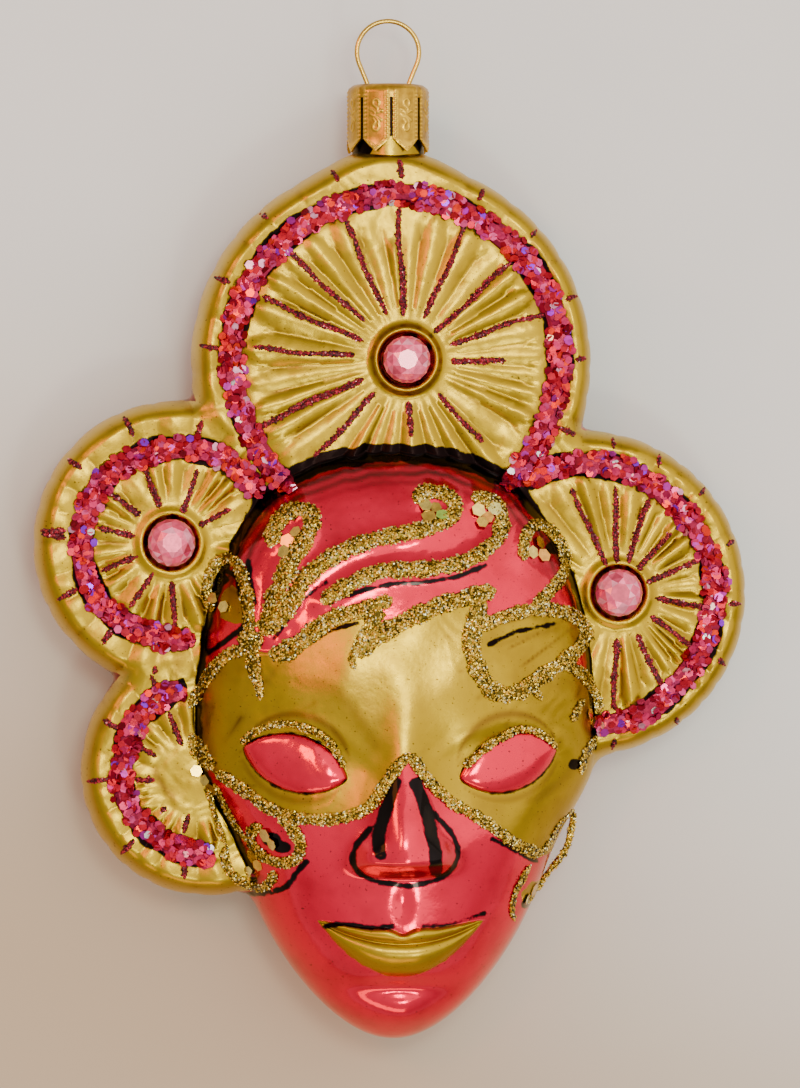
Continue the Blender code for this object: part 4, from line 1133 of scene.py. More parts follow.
def lacquered_glass(settings):
    """Blown glass silvered inside. Satin gold lacquer blurs it, glossy red keeps it a mirror, black hides it.

    The eye sees soft pleats of light in the gold and sharp ones in the red. Brown lies in blotches where the
    lacquer ran thick, and as painted shade in the pleat valleys, round the eyes and in strokes. The red
    darkens in streaks along the crease, and black lies in it, as painted shade; paler gold at the outline is
    painted light.
    """
    finish, tree, shader, uneven, blotch, dust = new_finish(
        "silvered_lacquered_glass", (1.6, 3), (7, 4), (0.45, 1)
    )
    red_reach, black_and_shade_reach, valley, crease_shade, thin = (
        add_node(tree, "Attribute", output="Fac", attribute_name=name)
        for name in ("red_reach", "black_and_shade_reach", "valley", "crease_shade", "thin")
    )
    wobble = add_node(tree, "Math", {0: uneven, 1: 0.9, 2: -0.45}, operation="MULTIPLY_ADD")
    red, black = (
        add_node(
            tree, "MapRange",
            {"Value": add_node(tree, "Math", {0: reach, 1: wobble}), "From Min": -soft, "From Max": soft},
            interpolation_type="SMOOTHSTEP",
        )
        for reach, soft in ((red_reach, 0.1), (black_and_shade_reach, 0.15))
    )
    pooled_and_shade, deep, speck = (
        add_node(tree, "MapRange", {"Value": noise, "From Min": low, "From Max": high, "To Max": most})
        for noise, low, high, most in (
            (blotch, 0.5, 0.75, 0.4), (blotch, 0.45, 0.75, 0.55), (dust, 0.70, 0.76, 0.8),
        )
    )
    # Brown: blotches of thick lacquer, and painted shade in the pleat valleys, round the eyes and in strokes
    pooled_and_shade = add_node(tree, "Math", {0: valley, 1: pooled_and_shade}, operation="MAXIMUM")
    # Paler gold within 1.8 mm of the outline: painted light at the thin edge
    gold = coats(tree, (*settings.gold, 1), (pooled_and_shade, (*settings.patina_and_shade, 1)), (thin, opaque("#D6BE74")))
    # The red darkens to black-brown in streaks along the crease: painted shade
    crimson = coats(tree, (*settings.red, 1), (deep, (*settings.deep_red, 1)), (crease_shade, opaque("#501410")))
    on_red = add_node(tree, "Math", {0: red, 1: black}, operation="SUBTRACT", use_clamp=True)
    satin = add_node(
        tree, "MapRange",
        {"Value": uneven, "To Min": settings.gold_roughness - 0.07, "To Max": settings.gold_roughness + 0.09},
    )
    # The black is partly black paint and partly painted shade in the crease, beside the glitter and round the
    # stones
    painted = coats(tree, gold, (red, crimson), (speck, opaque("#3A2410")), (black, opaque("#120A0A")))
    set_inputs(shader, {
        "Base Color": painted,
        "Metallic": add_node(tree, "Math", {0: on_red, 1: -0.2, 2: 1.0}, operation="MULTIPLY_ADD"),
        "Roughness": add_node(tree, "Mix", {0: red, 2: satin, 3: settings.red_roughness}),
        "Specular Tint": (1.0, 0.88, 0.68, 1),
        "Coat Weight": add_node(tree, "Math", {0: red, 1: 0.15}, operation="MULTIPLY"),
        "Coat Roughness": 0.04,
        "Normal": add_node(tree, "Bump", {"Height": uneven, "Strength": 0.35, "Distance": 0.12 * MM}),
    })
    return finish


def tinted(name, metallic, roughness, coat=0.0):
    """A finish whose colour is each flake's, grain's or facet's tint, painted glints and shade among them."""
    finish, tree, shader, uneven = new_finish(name, (0.9, 2))
    tint = add_node(tree, "Attribute", output="Color", attribute_name="tint")
    shade = add_node(
        tree, "MapRange", {"Value": uneven, "From Min": 0.3, "From Max": 0.7, "To Min": 0.7, "To Max": 1.1}
    )
    blur = {"Value": uneven, "To Min": 0.7 * roughness, "To Max": 1.3 * roughness}
    set_inputs(shader, {
        "Base Color": add_node(tree, "VectorMath", {0: tint, "Scale": shade}, operation="SCALE"),
        "Roughness": add_node(tree, "MapRange", blur),
        "Metallic": metallic,
        "Coat Weight": coat,
        "Coat Roughness": 0.03,
    })
    return finish


def stamped_brass(settings):
    """Thin brass sheet, stamped and dipped in warm lacquer, which stays darker in the recesses."""
    finish, tree, shader, uneven = new_finish("stamped_lacquered_brass", (1.2, 4))
    recess = add_node(tree, "Attribute", output="Fac", attribute_name="recess")
    dirt = add_node(tree, "Math", {0: recess, 1: uneven}, operation="MULTIPLY")
    set_inputs(shader, {
        "Base Color": coats(tree, (*settings.brass, 1), (dirt, opaque("#6B4314"))),
        "Roughness": add_node(tree, "MapRange", {"Value": uneven, "To Min": 0.2, "To Max": 0.42}),
        "Metallic": 1.0,
        "Normal": add_node(tree, "Bump", {"Height": uneven, "Strength": 0.25, "Distance": 0.1 * MM}),
    })
    return finish


def drawn_wire(settings):
    """Drawn brass wire: bright, with fine scratches along it from the die."""
    finish, tree, shader, scratch, tarnish = new_finish("drawn_brass_wire", (0.3, 2), (4, 3))
    set_inputs(shader, {
        "Base Color": coats(tree, (*settings.wire, 1), (tarnish, opaque("#A8853A"))),
        "Roughness": add_node(tree, "MapRange", {"Value": scratch, "To Min": 0.14, "To Max": 0.34}),
        "Metallic": 1.0,
    })
    return finish


# Making the pieces

def red_distance(x, y, on_head):
    """Millimetres inside the red: the head without half mask, lips and leaves, both eyes, and a ring of
    painted shade round each stone.
    """
    u, v = head_shares(x, y)
    line, share = mouth_line(u, v)
    upper_edge, lower_edge = lip_edges(u, share)
    lips = np.minimum(line + lower_edge, upper_edge - line) * HEAD_HALF_HEIGHT
    lips = np.where(share < 1, lips, -MM)
    gold = np.maximum(lips, area_distance(x, y, MASK_LINE))
    for leaf in LEAF_LINES:
        gold = np.maximum(gold, area_distance(x, y, leaf))
    red = np.maximum(np.minimum(on_head, -gold), np.where(on_head > 0, eye_distance(x, y), -MM))
    # A thin red ring round each stone's seat: painted shade of the gap round it
    return np.maximum(red, 0.3 * MM - seat_distance(x, y)) / MM


def eye_distance(x, y):
    """Distance inside the nearer eye's outline, below 0 outside it."""
    u, v = head_shares(x, y)
    return almond(u, v, np.where(u < 0, -1, 1)) * EYE_HALF_HEIGHT * HEAD_HALF_WIDTH / 2


def seat_distance(x, y):
    """Distance from the nearest gem's edge."""
    from_hubs = [np.hypot(x - fan.hub_x, y - fan.hub_y) for fan in FANS if fan.gem]
    return np.abs(np.min(from_hubs, axis=0) - SEAT_RADIUS)


def black_and_shade_distance(x, y, from_crease):
    """Millimetres inside the black: painted shade in the crease, and lines and dabs of black.

    Some of the lines are painted shadows, as is the black in places beside the glitter and round the stones.
    Thin black rings also go round the eyes.
    """
    # Black along the crease on the head's side: painted shade, widest at the top
    width = MM * (0.8 + 0.7 * smooth_step(y, -20 * MM, 8 * MM))
    above = MM * (0.35 + 1.3 * smooth_step(y, 0, 12 * MM))
    in_crease = np.minimum(from_crease + above, width - from_crease)
    black = np.where(within_fans(x, y) > 0.4 * MM, in_crease, -FAR)
    for width, path in BLACK_AND_SHADE_PATHS:
        black = np.maximum(black, width / 2 - line_distance(x, y, path))
    spots = under_sight(np.array(BLACK_SPOTS)[:, :2] * MM)
    for (spot_x, spot_y), (_, _, radius) in zip(spots, BLACK_SPOTS):
        black = np.maximum(black, radius * MM - np.hypot((x - spot_x), (y - spot_y) * 1.3))
    # Black in patches beside the glitter bands: painted shadow at their edges
    for fan in FANS:
        angle, from_middle = polar(x - fan.ring_x, y - fan.ring_y)
        in_band = np.mod(np.degrees(angle) - fan.band_start, 360) < fan.band_end - fan.band_start
        own = in_band & (fan_inset(fan, x, y) > 0) & (from_crease < 0)
        patchy = np.sin(3 * angle + fan.pleats) + np.sin(11 * angle + 2 * fan.pleats)
        reach = BAND_WIDTH / 2 + 0.45 * MM * np.clip(patchy, -1, 1) - 0.1 * MM
        beside = reach - np.abs(from_middle - fan.ring_radius)
        black = np.maximum(black, np.where(own, beside, -FAR))
    round_eye = np.minimum(0.2 * MM - np.abs(eye_distance(x, y)), 0.03 * MM)
    # A black ring round each stone: painted shade of the gap round it
    round_gem = np.minimum(0.25 * MM - seat_distance(x, y), -0.03 * MM)
    return np.maximum(black, np.maximum(round_eye, round_gem)) / MM


def crown_shade(x, y, from_crease):
    """How dark the red is, 0 to 1: painted shade in streaks along the crease, deepest by it, widest at the
    head's top.
    """
    turn = np.arctan2(y - HEAD_Y, x - HEAD_X)
    bend = 1.6 * np.sin(9 * turn + 1) + 0.9 * np.sin(23 * turn)
    streaks = 0.5 + 0.5 * np.sin(from_crease / (0.24 * MM) + bend)
    upper = smooth_step(y, HEAD_Y + 8 * MM, HEAD_Y + 40 * MM)
    reach = MM * (1.6 + 5.6 * upper)
    depth = 1 - smooth_step(from_crease, 0.35 * reach, reach)
    return depth * (0.35 + 0.65 * streaks)


def valley_share(x, y):
    """How dark the brown lies, 0 to 1: painted shade in arcs over and under the eyes, in strokes and between
    pleats.
    """
    from_eye = eye_distance(x, y)
    # Painted shade in an arc above each eye, and a fainter one below it
    above = smooth_step(head_shares(x, y)[1], EYE_V - 0.03, EYE_V + 0.06)
    deep = 0.9 * hump(from_eye + 4.4 * MM, 1.4 * MM) * above
    deep = deep + 0.6 * hump(from_eye + 1.4 * MM, 0.9 * MM) * (1 - above)
    for strength, width, path in SHADE_STROKE_PATHS:
        deep = np.maximum(deep, strength * hump(line_distance(x, y, path), width))
    # Painted shade in the valleys between the pleats, deeper in some than in others
    for fan in FANS:
        angle, from_hub = polar(x - fan.hub_x, y - fan.hub_y)
        own = smooth_step(fan_inset(fan, x, y), 0, MM)
        fade = pleat_fade(fan, angle, from_hub)
        depth = 0.3 + 0.7 * PLEAT_HEIGHTS[::-1][pleat_place(fan, angle)[0]]
        deep = np.maximum(deep, own * depth * np.clip(fade, 0, 1) * (1 - pleat_arch(fan, angle)) ** 4)
    return deep


def dome_shows(x, y):
    """Whether the head's dome stands over the fans, which it does inside the crease."""
    return (head_front(x, y) > fan_front(x, y)) & (head_gauge(x, y) < 1)


class BlowGlass(bpy.types.Operator):
    """Blows the glass: a closed skin, front and back drawn over the same outline, and the neck's tube"""

    bl_idname = "ornament.blow_glass"
    bl_label = "Blow glass"

    def execute(self, context):
        settings = context.scene.ornament_glass
        finish = lacquered_glass(settings)
        outline = ring_where(lambda x, y: body_inset(x, y) > 0, STAR, 0, settings.fan_spacing)
        crease = ring_where(dome_shows, HEAD_MIDDLE, HEAD_HALF_WIDTH / 2, CREASE_SPACING)
        top, top_faces = drawn(outline, self.front_places(settings, outline, crease), glass_front)
        bottom, bottom_faces = drawn(outline, self.back_places(settings, outline), glass_back)
        count = len(outline)
        bottom_faces = np.where(bottom_faces < count, bottom_faces, bottom_faces + len(top) - count)[:, ::-1]
        points = np.vstack([top, bottom[count:]])
        faces = np.vstack([top_faces, bottom_faces])
        body = new_piece("blown_glass", points + SHIFT, faces, finish, ["glass_body"])
        x, y = points[:, :2].T
        is_top = np.arange(len(points)) < len(top)
        inset = body_inset(x, y)
        step = np.clip(0.4 * inset, 0.01 * MM, 0.12 * MM)
        normals = slope_normals(glass_front, x, y, step)
        normals[~is_top] = slope_normals(back, x[~is_top], y[~is_top], step[~is_top]) * (1, 1, -1)
        normals[:count, 2] = 0
        body.data.normals_split_custom_set_from_vertices(unit(normals))
        self.lacquer(body.data, x, y, is_top, inset, crease)
        self.neck(finish)
        return {"FINISHED"}

    def front_places(self, settings, outline, crease):
        """Rows along the rim, the crease and the face's lines, circles on the fans, a lattice on the head."""
        edge = crease[body_inset(*crease.T) > RIM_WIDTH]
        outward = edge - HEAD_MIDDLE
        outward /= np.hypot(*outward.T)[:, None]
        edges = np.vstack([edge, edge + CREASE_SIDE * outward, edge - CREASE_SIDE * outward])
        edges = edges[body_inset(*edges.T) > 1.05 * RIM_WIDTH]
        inner = np.vstack([rim_rows(outline, RIM_ROWS), edges, clear_of(face_rows(), edges, LINE_SIDE)])
        fans = np.vstack([fan_rows(fan, settings.fan_spacing) for fan in FANS])
        fans = fans[fan_front(*fans.T) > head_front(*fans.T)]
        reach = HEAD_HALF_HEIGHT * 1.1
        head = lattice(settings.head_spacing, HEAD_MIDDLE - reach, HEAD_MIDDLE + reach)
        head = head[head_front(*head.T) >= fan_front(*head.T)]
        for group, least in ((fans, 0.32 * MM), (head, 0.3 * MM)):
            group = group[body_inset(*group.T) > RIM_WIDTH]
            inner = np.vstack([inner, clear_of(group, inner, least)])
        return inner

    def back_places(self, settings, outline):
        """Rows along the rim and a wide lattice."""
        wide = lattice(settings.back_spacing, (-PLAN_REACH, -PLAN_REACH), (PLAN_REACH, PLAN_REACH))
        wide = wide[body_inset(*wide.T) > RIM_WIDTH]
        rows = rim_rows(outline, BACK_RIM_ROWS)
        return np.vstack([rows, clear_of(wide, rows, 0.9 * MM)])

    def lacquer(self, mesh, x, y, is_top, inset, crease):
        """Keeps at each point how far it is inside the red and the black, and how much painted shade and
        painted edge light lie on it.
        """
        beyond = BACK_DOME * head_dome(x, y) - FAN_BACK
        from_crease = np.where(is_top, area_distance(x, y, crease[::2]), beyond)
        on_head = np.where(y < FANS[0].y, np.maximum(from_crease, -within_fans(x, y)), -FAR)
        give_number(mesh, "red_reach", np.where(is_top, red_distance(x, y, on_head), on_head / MM))
        give_number(mesh, "black_and_shade_reach", np.where(is_top, black_and_shade_distance(x, y, from_crease), -1))
        give_number(mesh, "valley", np.where(is_top, valley_share(x, y), 0))
        give_number(mesh, "crease_shade", np.where(is_top, crown_shade(x, y, on_head), 0))
        # Paler gold near the outline: painted light at the thin edge
        give_number(mesh, "thin", 0.75 * (1 - smooth_step(inset, 0, 1.8 * MM)))

    def neck(self, finish):
        """A tube with a blind bore: its wall's section carried round the neck's axis."""
        root = FANS[0].y + FANS[0].radius - NECK_ROOT
        top = cap_top() - CAP_SHOULDER - 0.3 * MM
        bore = NECK_RADIUS - NECK_WALL
        outside = [(NECK_RADIUS, along) for along in np.linspace(root, top, 36)]
        floor = top - BORE_DEPTH
        profile = ((AXIS_GAP, root), *outside, (bore, top), (bore, floor), (AXIS_GAP, floor))
        points, faces = turned(profile, NECK_SIDES)
        neck = new_piece("glass_neck", points, flat_list(faces), finish, ["glass_body"])
        neck.data.set_sharp_from_angle(angle=SHARP_ANGLE)
        # Black on the neck above the top fan, starting higher at the front: painted shade under the cap
        x, y, z = (points - SHIFT).T
        angle = np.arctan2(x - NECK_X, z)
        gold_edge = 3.6 * (1 - (angle / np.where(angle < 0, 0.70, 1.15)) ** 2).clip(-0.6)
        give_number(neck.data, "black_and_shade_reach", (y - FANS[0].y - FANS[0].radius) / MM - gold_edge)
        give_number(neck.data, "red_reach", np.full(len(points), -5.0))


def cap_top():
    return FANS[0].y + FANS[0].radius + CAP_LIFT + CAP_HEIGHT


def around_neck(radius, angle, along):
    """Points round the neck's axis; angle 0 faces out of the face."""
    return np.stack([NECK_X + radius * np.sin(angle), along, radius * np.cos(angle)], axis=-1) + SHIFT


def turned(profile, sides):
    """A profile of (radius, place along the axis) pairs carried round the neck's axis."""
    radius, along = np.array(profile).T
    turn = -2 * math.pi * np.arange(sides) / sides
    grid = np.broadcast_to(along[:, None], (len(profile), sides))
    return tube(around_neck(radius[:, None], turn[None], grid))


def tab_half_width(height):
    """Half the width of a cap tab at a height over its point."""
    full = math.pi * CAP_RADIUS / CAP_TAB_COUNT - CAP_SLIT_WIDTH / 2
    return full * np.clip(height / CAP_TAB_POINT, 0.01, 1)


SCROLL = (  # strokes of the leaf scroll on each tab, in millimetres across and up
    ((0.45, 7.5), (0.55, 8.1), (0.1, 8.6), (-0.45, 8.3), (-0.45, 7.7), (0.0, 7.3), (0.35, 6.9), (0.15, 6.5)),
    ((0.45, 4.5), (0.5, 3.9), (0.05, 3.4), (-0.45, 3.7), (-0.45, 4.3), (-0.05, 4.8), (-0.4, 5.3)),
    ((-1.0, 6.9), (-0.5, 6.7), (-0.1, 6.2)), ((0.3, 6.3), (0.8, 6.7), (1.1, 6.6)),
    ((-0.2, 5.9), (0.3, 5.6), (0.9, 5.1)), ((0.0, 5.5), (0.3, 5.2), (0.5, 4.8)),
    ((-0.9, 6.1), (-0.4, 5.8), (-0.1, 5.6)),
)


def cap_relief(across, height, relief):
    """Beads along each tab's edge, a thin line inside them and the scroll in the middle."""
    from_edge = tab_half_width(height) - np.abs(across)
    pearls = 0.62 + 0.38 * np.cos(2 * math.pi * height / (0.66 * MM))
    rise = relief * hump(from_edge - 0.42 * MM, 0.24 * MM) * pearls
    rise = rise + 0.35 * relief * hump(from_edge - 0.86 * MM, 0.1 * MM)
    for stroke in SCROLL:
        path = smooth_path(np.array(stroke) * MM, 0.3 * MM)
        rise = np.maximum(rise, 0.75 * relief * hump(line_distance(across, height, path), 0.15 * MM))
    return rise


class StampCap(bpy.types.Operator):
    """Stamps the cap: a crown with eight pointed tabs, their beads and scrolls raised"""

    bl_idname = "ornament.stamp_cap"
    bl_label = "Stamp cap"

    def execute(self, context):
        settings = context.scene.ornament_metal
        foot = cap_top() - CAP_HEIGHT
        heap = Heap()
        heap.add(*self.crown(settings.relief), (1, 1, 1))
        height = np.linspace(0, CAP_HEIGHT - CAP_SLIT_START + 0.15 * MM, 84)[:, None]
        flare = TAB_FLARE * (1 - smooth_step(height, 0, FLARE_HEIGHT))
        outer = tab_half_width(height) * np.linspace(-1, 1, TAB_COLUMNS)
        inner = tab_half_width(height) * np.linspace(1, -1, 12)
        level = np.broadcast_to(height, outer.shape)
        raised = CAP_RADIUS - 0.02 * MM + cap_relief(outer, level, settings.relief) + flare
        radius = np.concatenate([raised, CAP_RADIUS - CAP_WALL + flare + 0 * inner], axis=1)
        across = np.concatenate([outer, inner], axis=1) / CAP_RADIUS
        along = foot + np.broadcast_to(height, radius.shape)
        for tab in range(CAP_TAB_COUNT):
            middle = (tab + 0.5) * 2 * math.pi / CAP_TAB_COUNT
            heap.add(*tube(around_neck(radius, middle + across, along)), (1, 1, 1))
        cap = heap.piece("stamped_cap", stamped_brass(settings), ["cap"], "stamped_brass", smooth=True)
        place = np.vstack(heap.points) - SHIFT
        out = np.hypot(place[:, 0] - NECK_X, place[:, 2]) - CAP_RADIUS
        give_number(cap.data, "recess", 1 - smooth_step(out, 0.0, 0.12 * MM))
        cap.data.set_sharp_from_angle(angle=SHARP_ANGLE)
        return {"FINISHED"}

    def crown(self, relief):
        """The part above the slits: its section carried round, with the tabs' ribs running up into it."""
        foot = CAP_HEIGHT - CAP_SLIT_START
        bend = CAP_HEIGHT - CAP_SHOULDER
        wall = [(CAP_RADIUS, height) for height in np.linspace(foot, bend, 9)[:-1]]
        shoulder = [
            (CAP_RADIUS - CAP_SHOULDER * (1 - math.cos(t)), CAP_HEIGHT - CAP_SHOULDER * (1 - math.sin(t)))
            for t in np.linspace(0, math.pi / 2, 9)
        ]
        inside = CAP_RADIUS - CAP_WALL
        roof = CAP_HEIGHT - CAP_WALL
        profile = [(AXIS_GAP, roof), (inside - MM, roof), (inside, bend), (inside, foot)]
        profile += [*wall, *shoulder, (2 * MM, CAP_HEIGHT), (AXIS_GAP, CAP_HEIGHT)]
        radius, height = np.array(profile).T
        sides = CAP_TAB_COUNT * TAB_COLUMNS
        turn = -2 * math.pi * np.arange(sides) / sides
        tab = 2 * math.pi / CAP_TAB_COUNT
        across = (np.mod(turn, tab) - tab / 2) * CAP_RADIUS
        level = np.broadcast_to(height[:, None], (len(height), sides))
        rise = cap_relief(np.broadcast_to(across, level.shape), level, relief)
        outside = np.zeros(len(profile))
        outside[4:-2] = 1 - smooth_step(height[4:-2], CAP_HEIGHT - 0.9 * MM, CAP_HEIGHT - 0.2 * MM)
        grid = radius[:, None] + rise * outside[:, None]
        return tube(around_neck(grid, turn[None], level + cap_top() - CAP_HEIGHT))


class BendWire(bpy.types.Operator):
    """Bends the hanger: one wire up through the cap, out to the loop, round it and down again"""

    bl_idname = "ornament.bend_wire"
    bl_label = "Bend wire"

    def execute(self, context):
        half = LEG_SPACING / 2
        drop = LOOP_LIFT - LEG_RISE
        start = math.atan2(drop, half) - math.acos(LOOP_RADIUS / math.hypot(drop, half))
        turn = np.linspace(-math.pi + start, -2 * math.pi - start, 97)
        middle = cap_top() + LOOP_LIFT
        leg = np.linspace(cap_top() - LEG_LENGTH, cap_top() + LEG_RISE, 12)
        loop = np.column_stack([LOOP_RADIUS * np.cos(turn), middle + LOOP_RADIUS * np.sin(turn)])
        sides = np.full_like(leg, half)
        path = np.vstack([np.column_stack([-sides, leg]), loop, np.column_stack([sides, leg[::-1]])])
        left = path_frame(path)
        around = np.linspace(0, 2 * math.pi, WIRE_SIDES, endpoint=False)
        plan = path[:, None] + left[:, None] * (np.cos(around)[:, None] * WIRE_RADIUS)
        z = np.broadcast_to(np.sin(around) * WIRE_RADIUS, plan.shape[:2])
        rings = np.dstack([plan[..., 0] + NECK_X, plan[..., 1], z]) + SHIFT
        points, faces = tube(rings)
        finish = drawn_wire(context.scene.ornament_metal)
        new_piece("hanger_loop", points, flat_list(faces), finish, ["hanger_wire"])
        return {"FINISHED"}


# One pink glass whose facets get paler and darker pinks at random: painted highlights and painted shade
STONE_PINKS_LIT_AND_SHADED = (("#F8688A", 5), ("#F04C78", 4), ("#FF90AC", 3), ("#D03C60", 2))


class CutStones(bpy.types.Operator):
    """Cuts the three stones: an eight-sided table with three rows of facets down to the girdle"""

    bl_idname = "ornament.cut_stones"
    bl_label = "Cut stones"

    def execute(self, context):
        finish = tinted("foil_backed_pink_glass", 0.35, 0.2, coat=0.5)
        for number, fan in enumerate(fan for fan in FANS if fan.gem):
            node = f"rhinestone_{fan.name}"
            points, faces = self.facets(0.2 * number)
            points += (fan.hub_x + SHIFT[0], fan.hub_y + SHIFT[1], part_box(node)[0].z)
            name = f"cut_stone_{fan.name}"
            stone = new_piece(name, points, faces, finish, [node], smooth=False)
            # Each facet a pink at random: painted light and shade of the facets
            tints = picked(STONE_PINKS_LIT_AND_SHADED, len(faces), np.random.default_rng(STONE_SEED + number))
            give_tint(stone.data, np.repeat(tints, [len(face) for face in faces], axis=0), "CORNER")
        return {"FINISHED"}

    def facets(self, spin):
        """Rings of 8, 8, 16, 16 and 16 corners, turned half a step from the last where facets alternate."""
        rings = (  # corners, half steps turned, shares of the radius and of the height
            (8, 0, 0.42, 1.0), (8, 1, 0.66, 0.88), (16, 0, 0.88, 0.56), (16, 1, 1.0, 0.24), (16, 1, 1.0, 0.0),
        )
        points = []
        for corners, half_steps, share, rise in rings:
            turn = (np.arange(corners) + half_steps / 2) * 2 * math.pi / corners + spin
            ring = share * GEM_DIAMETER / 2 * np.column_stack([np.cos(turn), np.sin(turn)])
            points.append(np.column_stack([ring, np.full(corners, rise * GEM_HEIGHT)]))
        faces = [tuple(range(8)), tuple(range(63, 47, -1))]
        for k in range(8):
            after = (k + 1) % 8
            a, b, c = (16 + (2 * k + step) % 16 for step in range(3))
            faces += [(k, 8 + k, after), (8 + k, 8 + after, after)]
            faces += [(8 + k, a, b), (8 + k, b, c), (8 + k, c, 8 + after)]
        for k in range(16):
            after = (k + 1) % 16
            faces += [(16 + k, 32 + k, 16 + after), (32 + k, 32 + after, 16 + after)]
            faces.append((32 + k, 48 + k, 48 + after, 32 + after))
        return np.vstack(points), faces


# Pinks of the foil flakes; the near white one is a painted glint
FOIL_PINKS_AND_GLINTS = (
    ("#AC1028", 32), ("#C02458", 22), ("#840A22", 20), ("#CC4078", 9), ("#A82C90", 6), ("#8C20D0", 3),
    ("#E03018", 7), ("#F0A0C0", 2), ("#FFF2F6", 1),
)


class StickFlakes(bpy.types.Operator):
    """Sticks coarse hexagonal flakes of foil into a bead of glue round each fan"""

    bl_idname = "ornament.stick_flakes"
    bl_label = "Stick coarse glitter"

    def execute(self, context):
        settings = context.scene.ornament_glitter
        finish = tinted("coarse_foil_glitter", 0.85, 0.28)
        for number, fan in enumerate(FANS):
            random = np.random.default_rng(settings.seed + number)
            start, end = np.radians([fan.band_start, fan.band_end])
            turn = np.linspace(start, end, max(8, round((end - start) * fan.ring_radius / MM)))
            sway = fan.ring_radius + 0.25 * MM * np.sin(5 * turn + number)
            path = np.column_stack([fan.ring_x + sway * np.cos(turn), fan.ring_y + sway * np.sin(turn)])
            half = rounded_widths(path, BAND_WIDTH, BAND_WIDTH)
            half = half * (1 + 0.10 * np.sin(17 * turn) * np.sin(7 * turn + 1))
            heap = Heap()
            heap.add(*bead(path, half * 0.92, BAND_HEIGHT - 0.1 * MM), linear("#7A1030"))
            area = run_along(path)[-1] * BAND_WIDTH
            count = round(2.1 * area / (2.6 * settings.flake_radius**2))
            centres, normals = strewn(path, half, BAND_HEIGHT, count, 0.28, random)
            centres[:, 2] += random.uniform(0, 0.25 * MM, count)
            radius = settings.flake_radius * random.uniform(0.85, 1.1, count)
            spin = random.uniform(0, math.pi / 3, count)
            points, faces = flakes(centres, normals, spin, radius, settings.flake_thickness)
            heap.add(points, faces, np.repeat(picked(FOIL_PINKS_AND_GLINTS, count, random), 12, axis=0))
            heap.piece(f"coarse_glitter_{fan.name}", finish, [f"glitter_band_{fan.name}"], "pink_glitter")
        return {"FINISHED"}


GOLD_GRAINS_GLINTS_AND_SHADE = (  # height of the bead of glue, how densely grains cover it, its colour and theirs by weight; palest are painted glints, darkest painted shade
    TRAIL_HEIGHT, 2.1, "#584810",
    (("#D8AE38", 30), ("#B48E28", 24), ("#F0D468", 18), ("#745A16", 14), ("#FFF6C0", 10), ("#2C2208", 7)),
)


def granular(heap, path, half_widths, radius, kind, random):
    """Fine glitter along a path: a dark bead of glue covered in grains."""
    height, density, bed, palette = kind
    heap.add(*bead(path, half_widths * 0.9, height * 0.85), linear(bed))
    area = run_along(path)[-1] * 2 * half_widths.mean()
    count = max(4, round(density * area / (2 * radius**2)))
    centres, normals = strewn(path, half_widths, height, count, 0.5, random)
    sizes = radius * random.uniform(0.7, 1.25, count)
    points, faces = grains(centres, normals, random.uniform(0, math.pi / 2, count), sizes)
    heap.add(points, faces, np.repeat(picked(palette, count, random), 6, axis=0))


class LayTrails(bpy.types.Operator):
    """Lays the gold trails of fine glitter over scrolls, half mask, eyelids and cheeks"""

    bl_idname = "ornament.lay_trails"
    bl_label = "Lay gold trails"

    def execute(self, context):
        settings = context.scene.ornament_glitter
        finish = tinted("fine_gold_glitter", 0.9, 0.3)
        loose = Heap()
        for number, (trail, path) in enumerate(zip(TRAILS, TRAIL_LINES)):
            random = np.random.default_rng(settings.seed + TRAIL_SEED + number)
            path = even_line(path, 0.6 * MM)
            half = rounded_widths(path, trail.start_width * MM, trail.end_width * MM)
            run = np.arange(len(path)) * 0.6
            half = half * (1 + 0.10 * np.sin(1.3 * run + number) + 0.06 * random.normal(size=len(path)))
            heap = Heap() if trail.node else loose
            granular(heap, path, half, settings.grain_radius, GOLD_GRAINS_GLINTS_AND_SHADE, random)
            if trail.node:
                name = trail.node.replace("gold_trail", "gold_glitter")
                heap.piece(name, finish, [trail.node], "gold_glitter")
        loose.piece("gold_glitter_strands", finish, [], "gold_glitter")
        return {"FINISHED"}


# Golds of the sequins; the yellow-green and the orange ones are painted reflections of the lamps
SEQUIN_GOLDS_AND_REFLECTIONS = (("#E8C860", 10), ("#D0A840", 8), ("#FFE98A", 5), ("#B8E05A", 1), ("#F0A848", 2))


class SetSequins(bpy.types.Operator):
    """Sets single gold sequins in the curls of the trails"""

    bl_idname = "ornament.set_sequins"
    bl_label = "Set sequins"

    def execute(self, context):
        settings = context.scene.ornament_glitter
        random = np.random.default_rng(settings.seed + SEQUIN_SEED)
        plan = under_sight(np.array(SEQUINS) * MM)
        count = len(plan)
        normals = slope_normals(glass_front, *plan.T, 0.8 * MM)
        normals = unit(normals + 0.14 * random.normal(size=(count, 3)))
        radius = settings.sequin_radius * random.uniform(0.85, 1.1, count)
        centres = on_glass(plan, 0.55 * MM)
        spin = random.uniform(0, 1, count)
        points, faces = flakes(centres, normals, spin, radius, 1.3 * settings.flake_thickness)
        heap = Heap()
        heap.add(points, faces, np.repeat(picked(SEQUIN_GOLDS_AND_REFLECTIONS, count, random), 12, axis=0))
        heap.piece("gold_sequins", tinted("gold_foil_sequin", 0.95, 0.2, coat=0.3), [], "gold_glitter")
        return {"FINISHED"}


# Dark red grains; the pale pink ones are painted glints
RED_GRAINS_AND_GLINTS = (
    RAY_HEIGHT, 1.9, "#4A0A1C",
    (("#80101E", 30), ("#5E0A14", 24), ("#9C1A30", 20), ("#BC2C48", 8), ("#2C0408", 12), ("#F090A0", 2)),
)


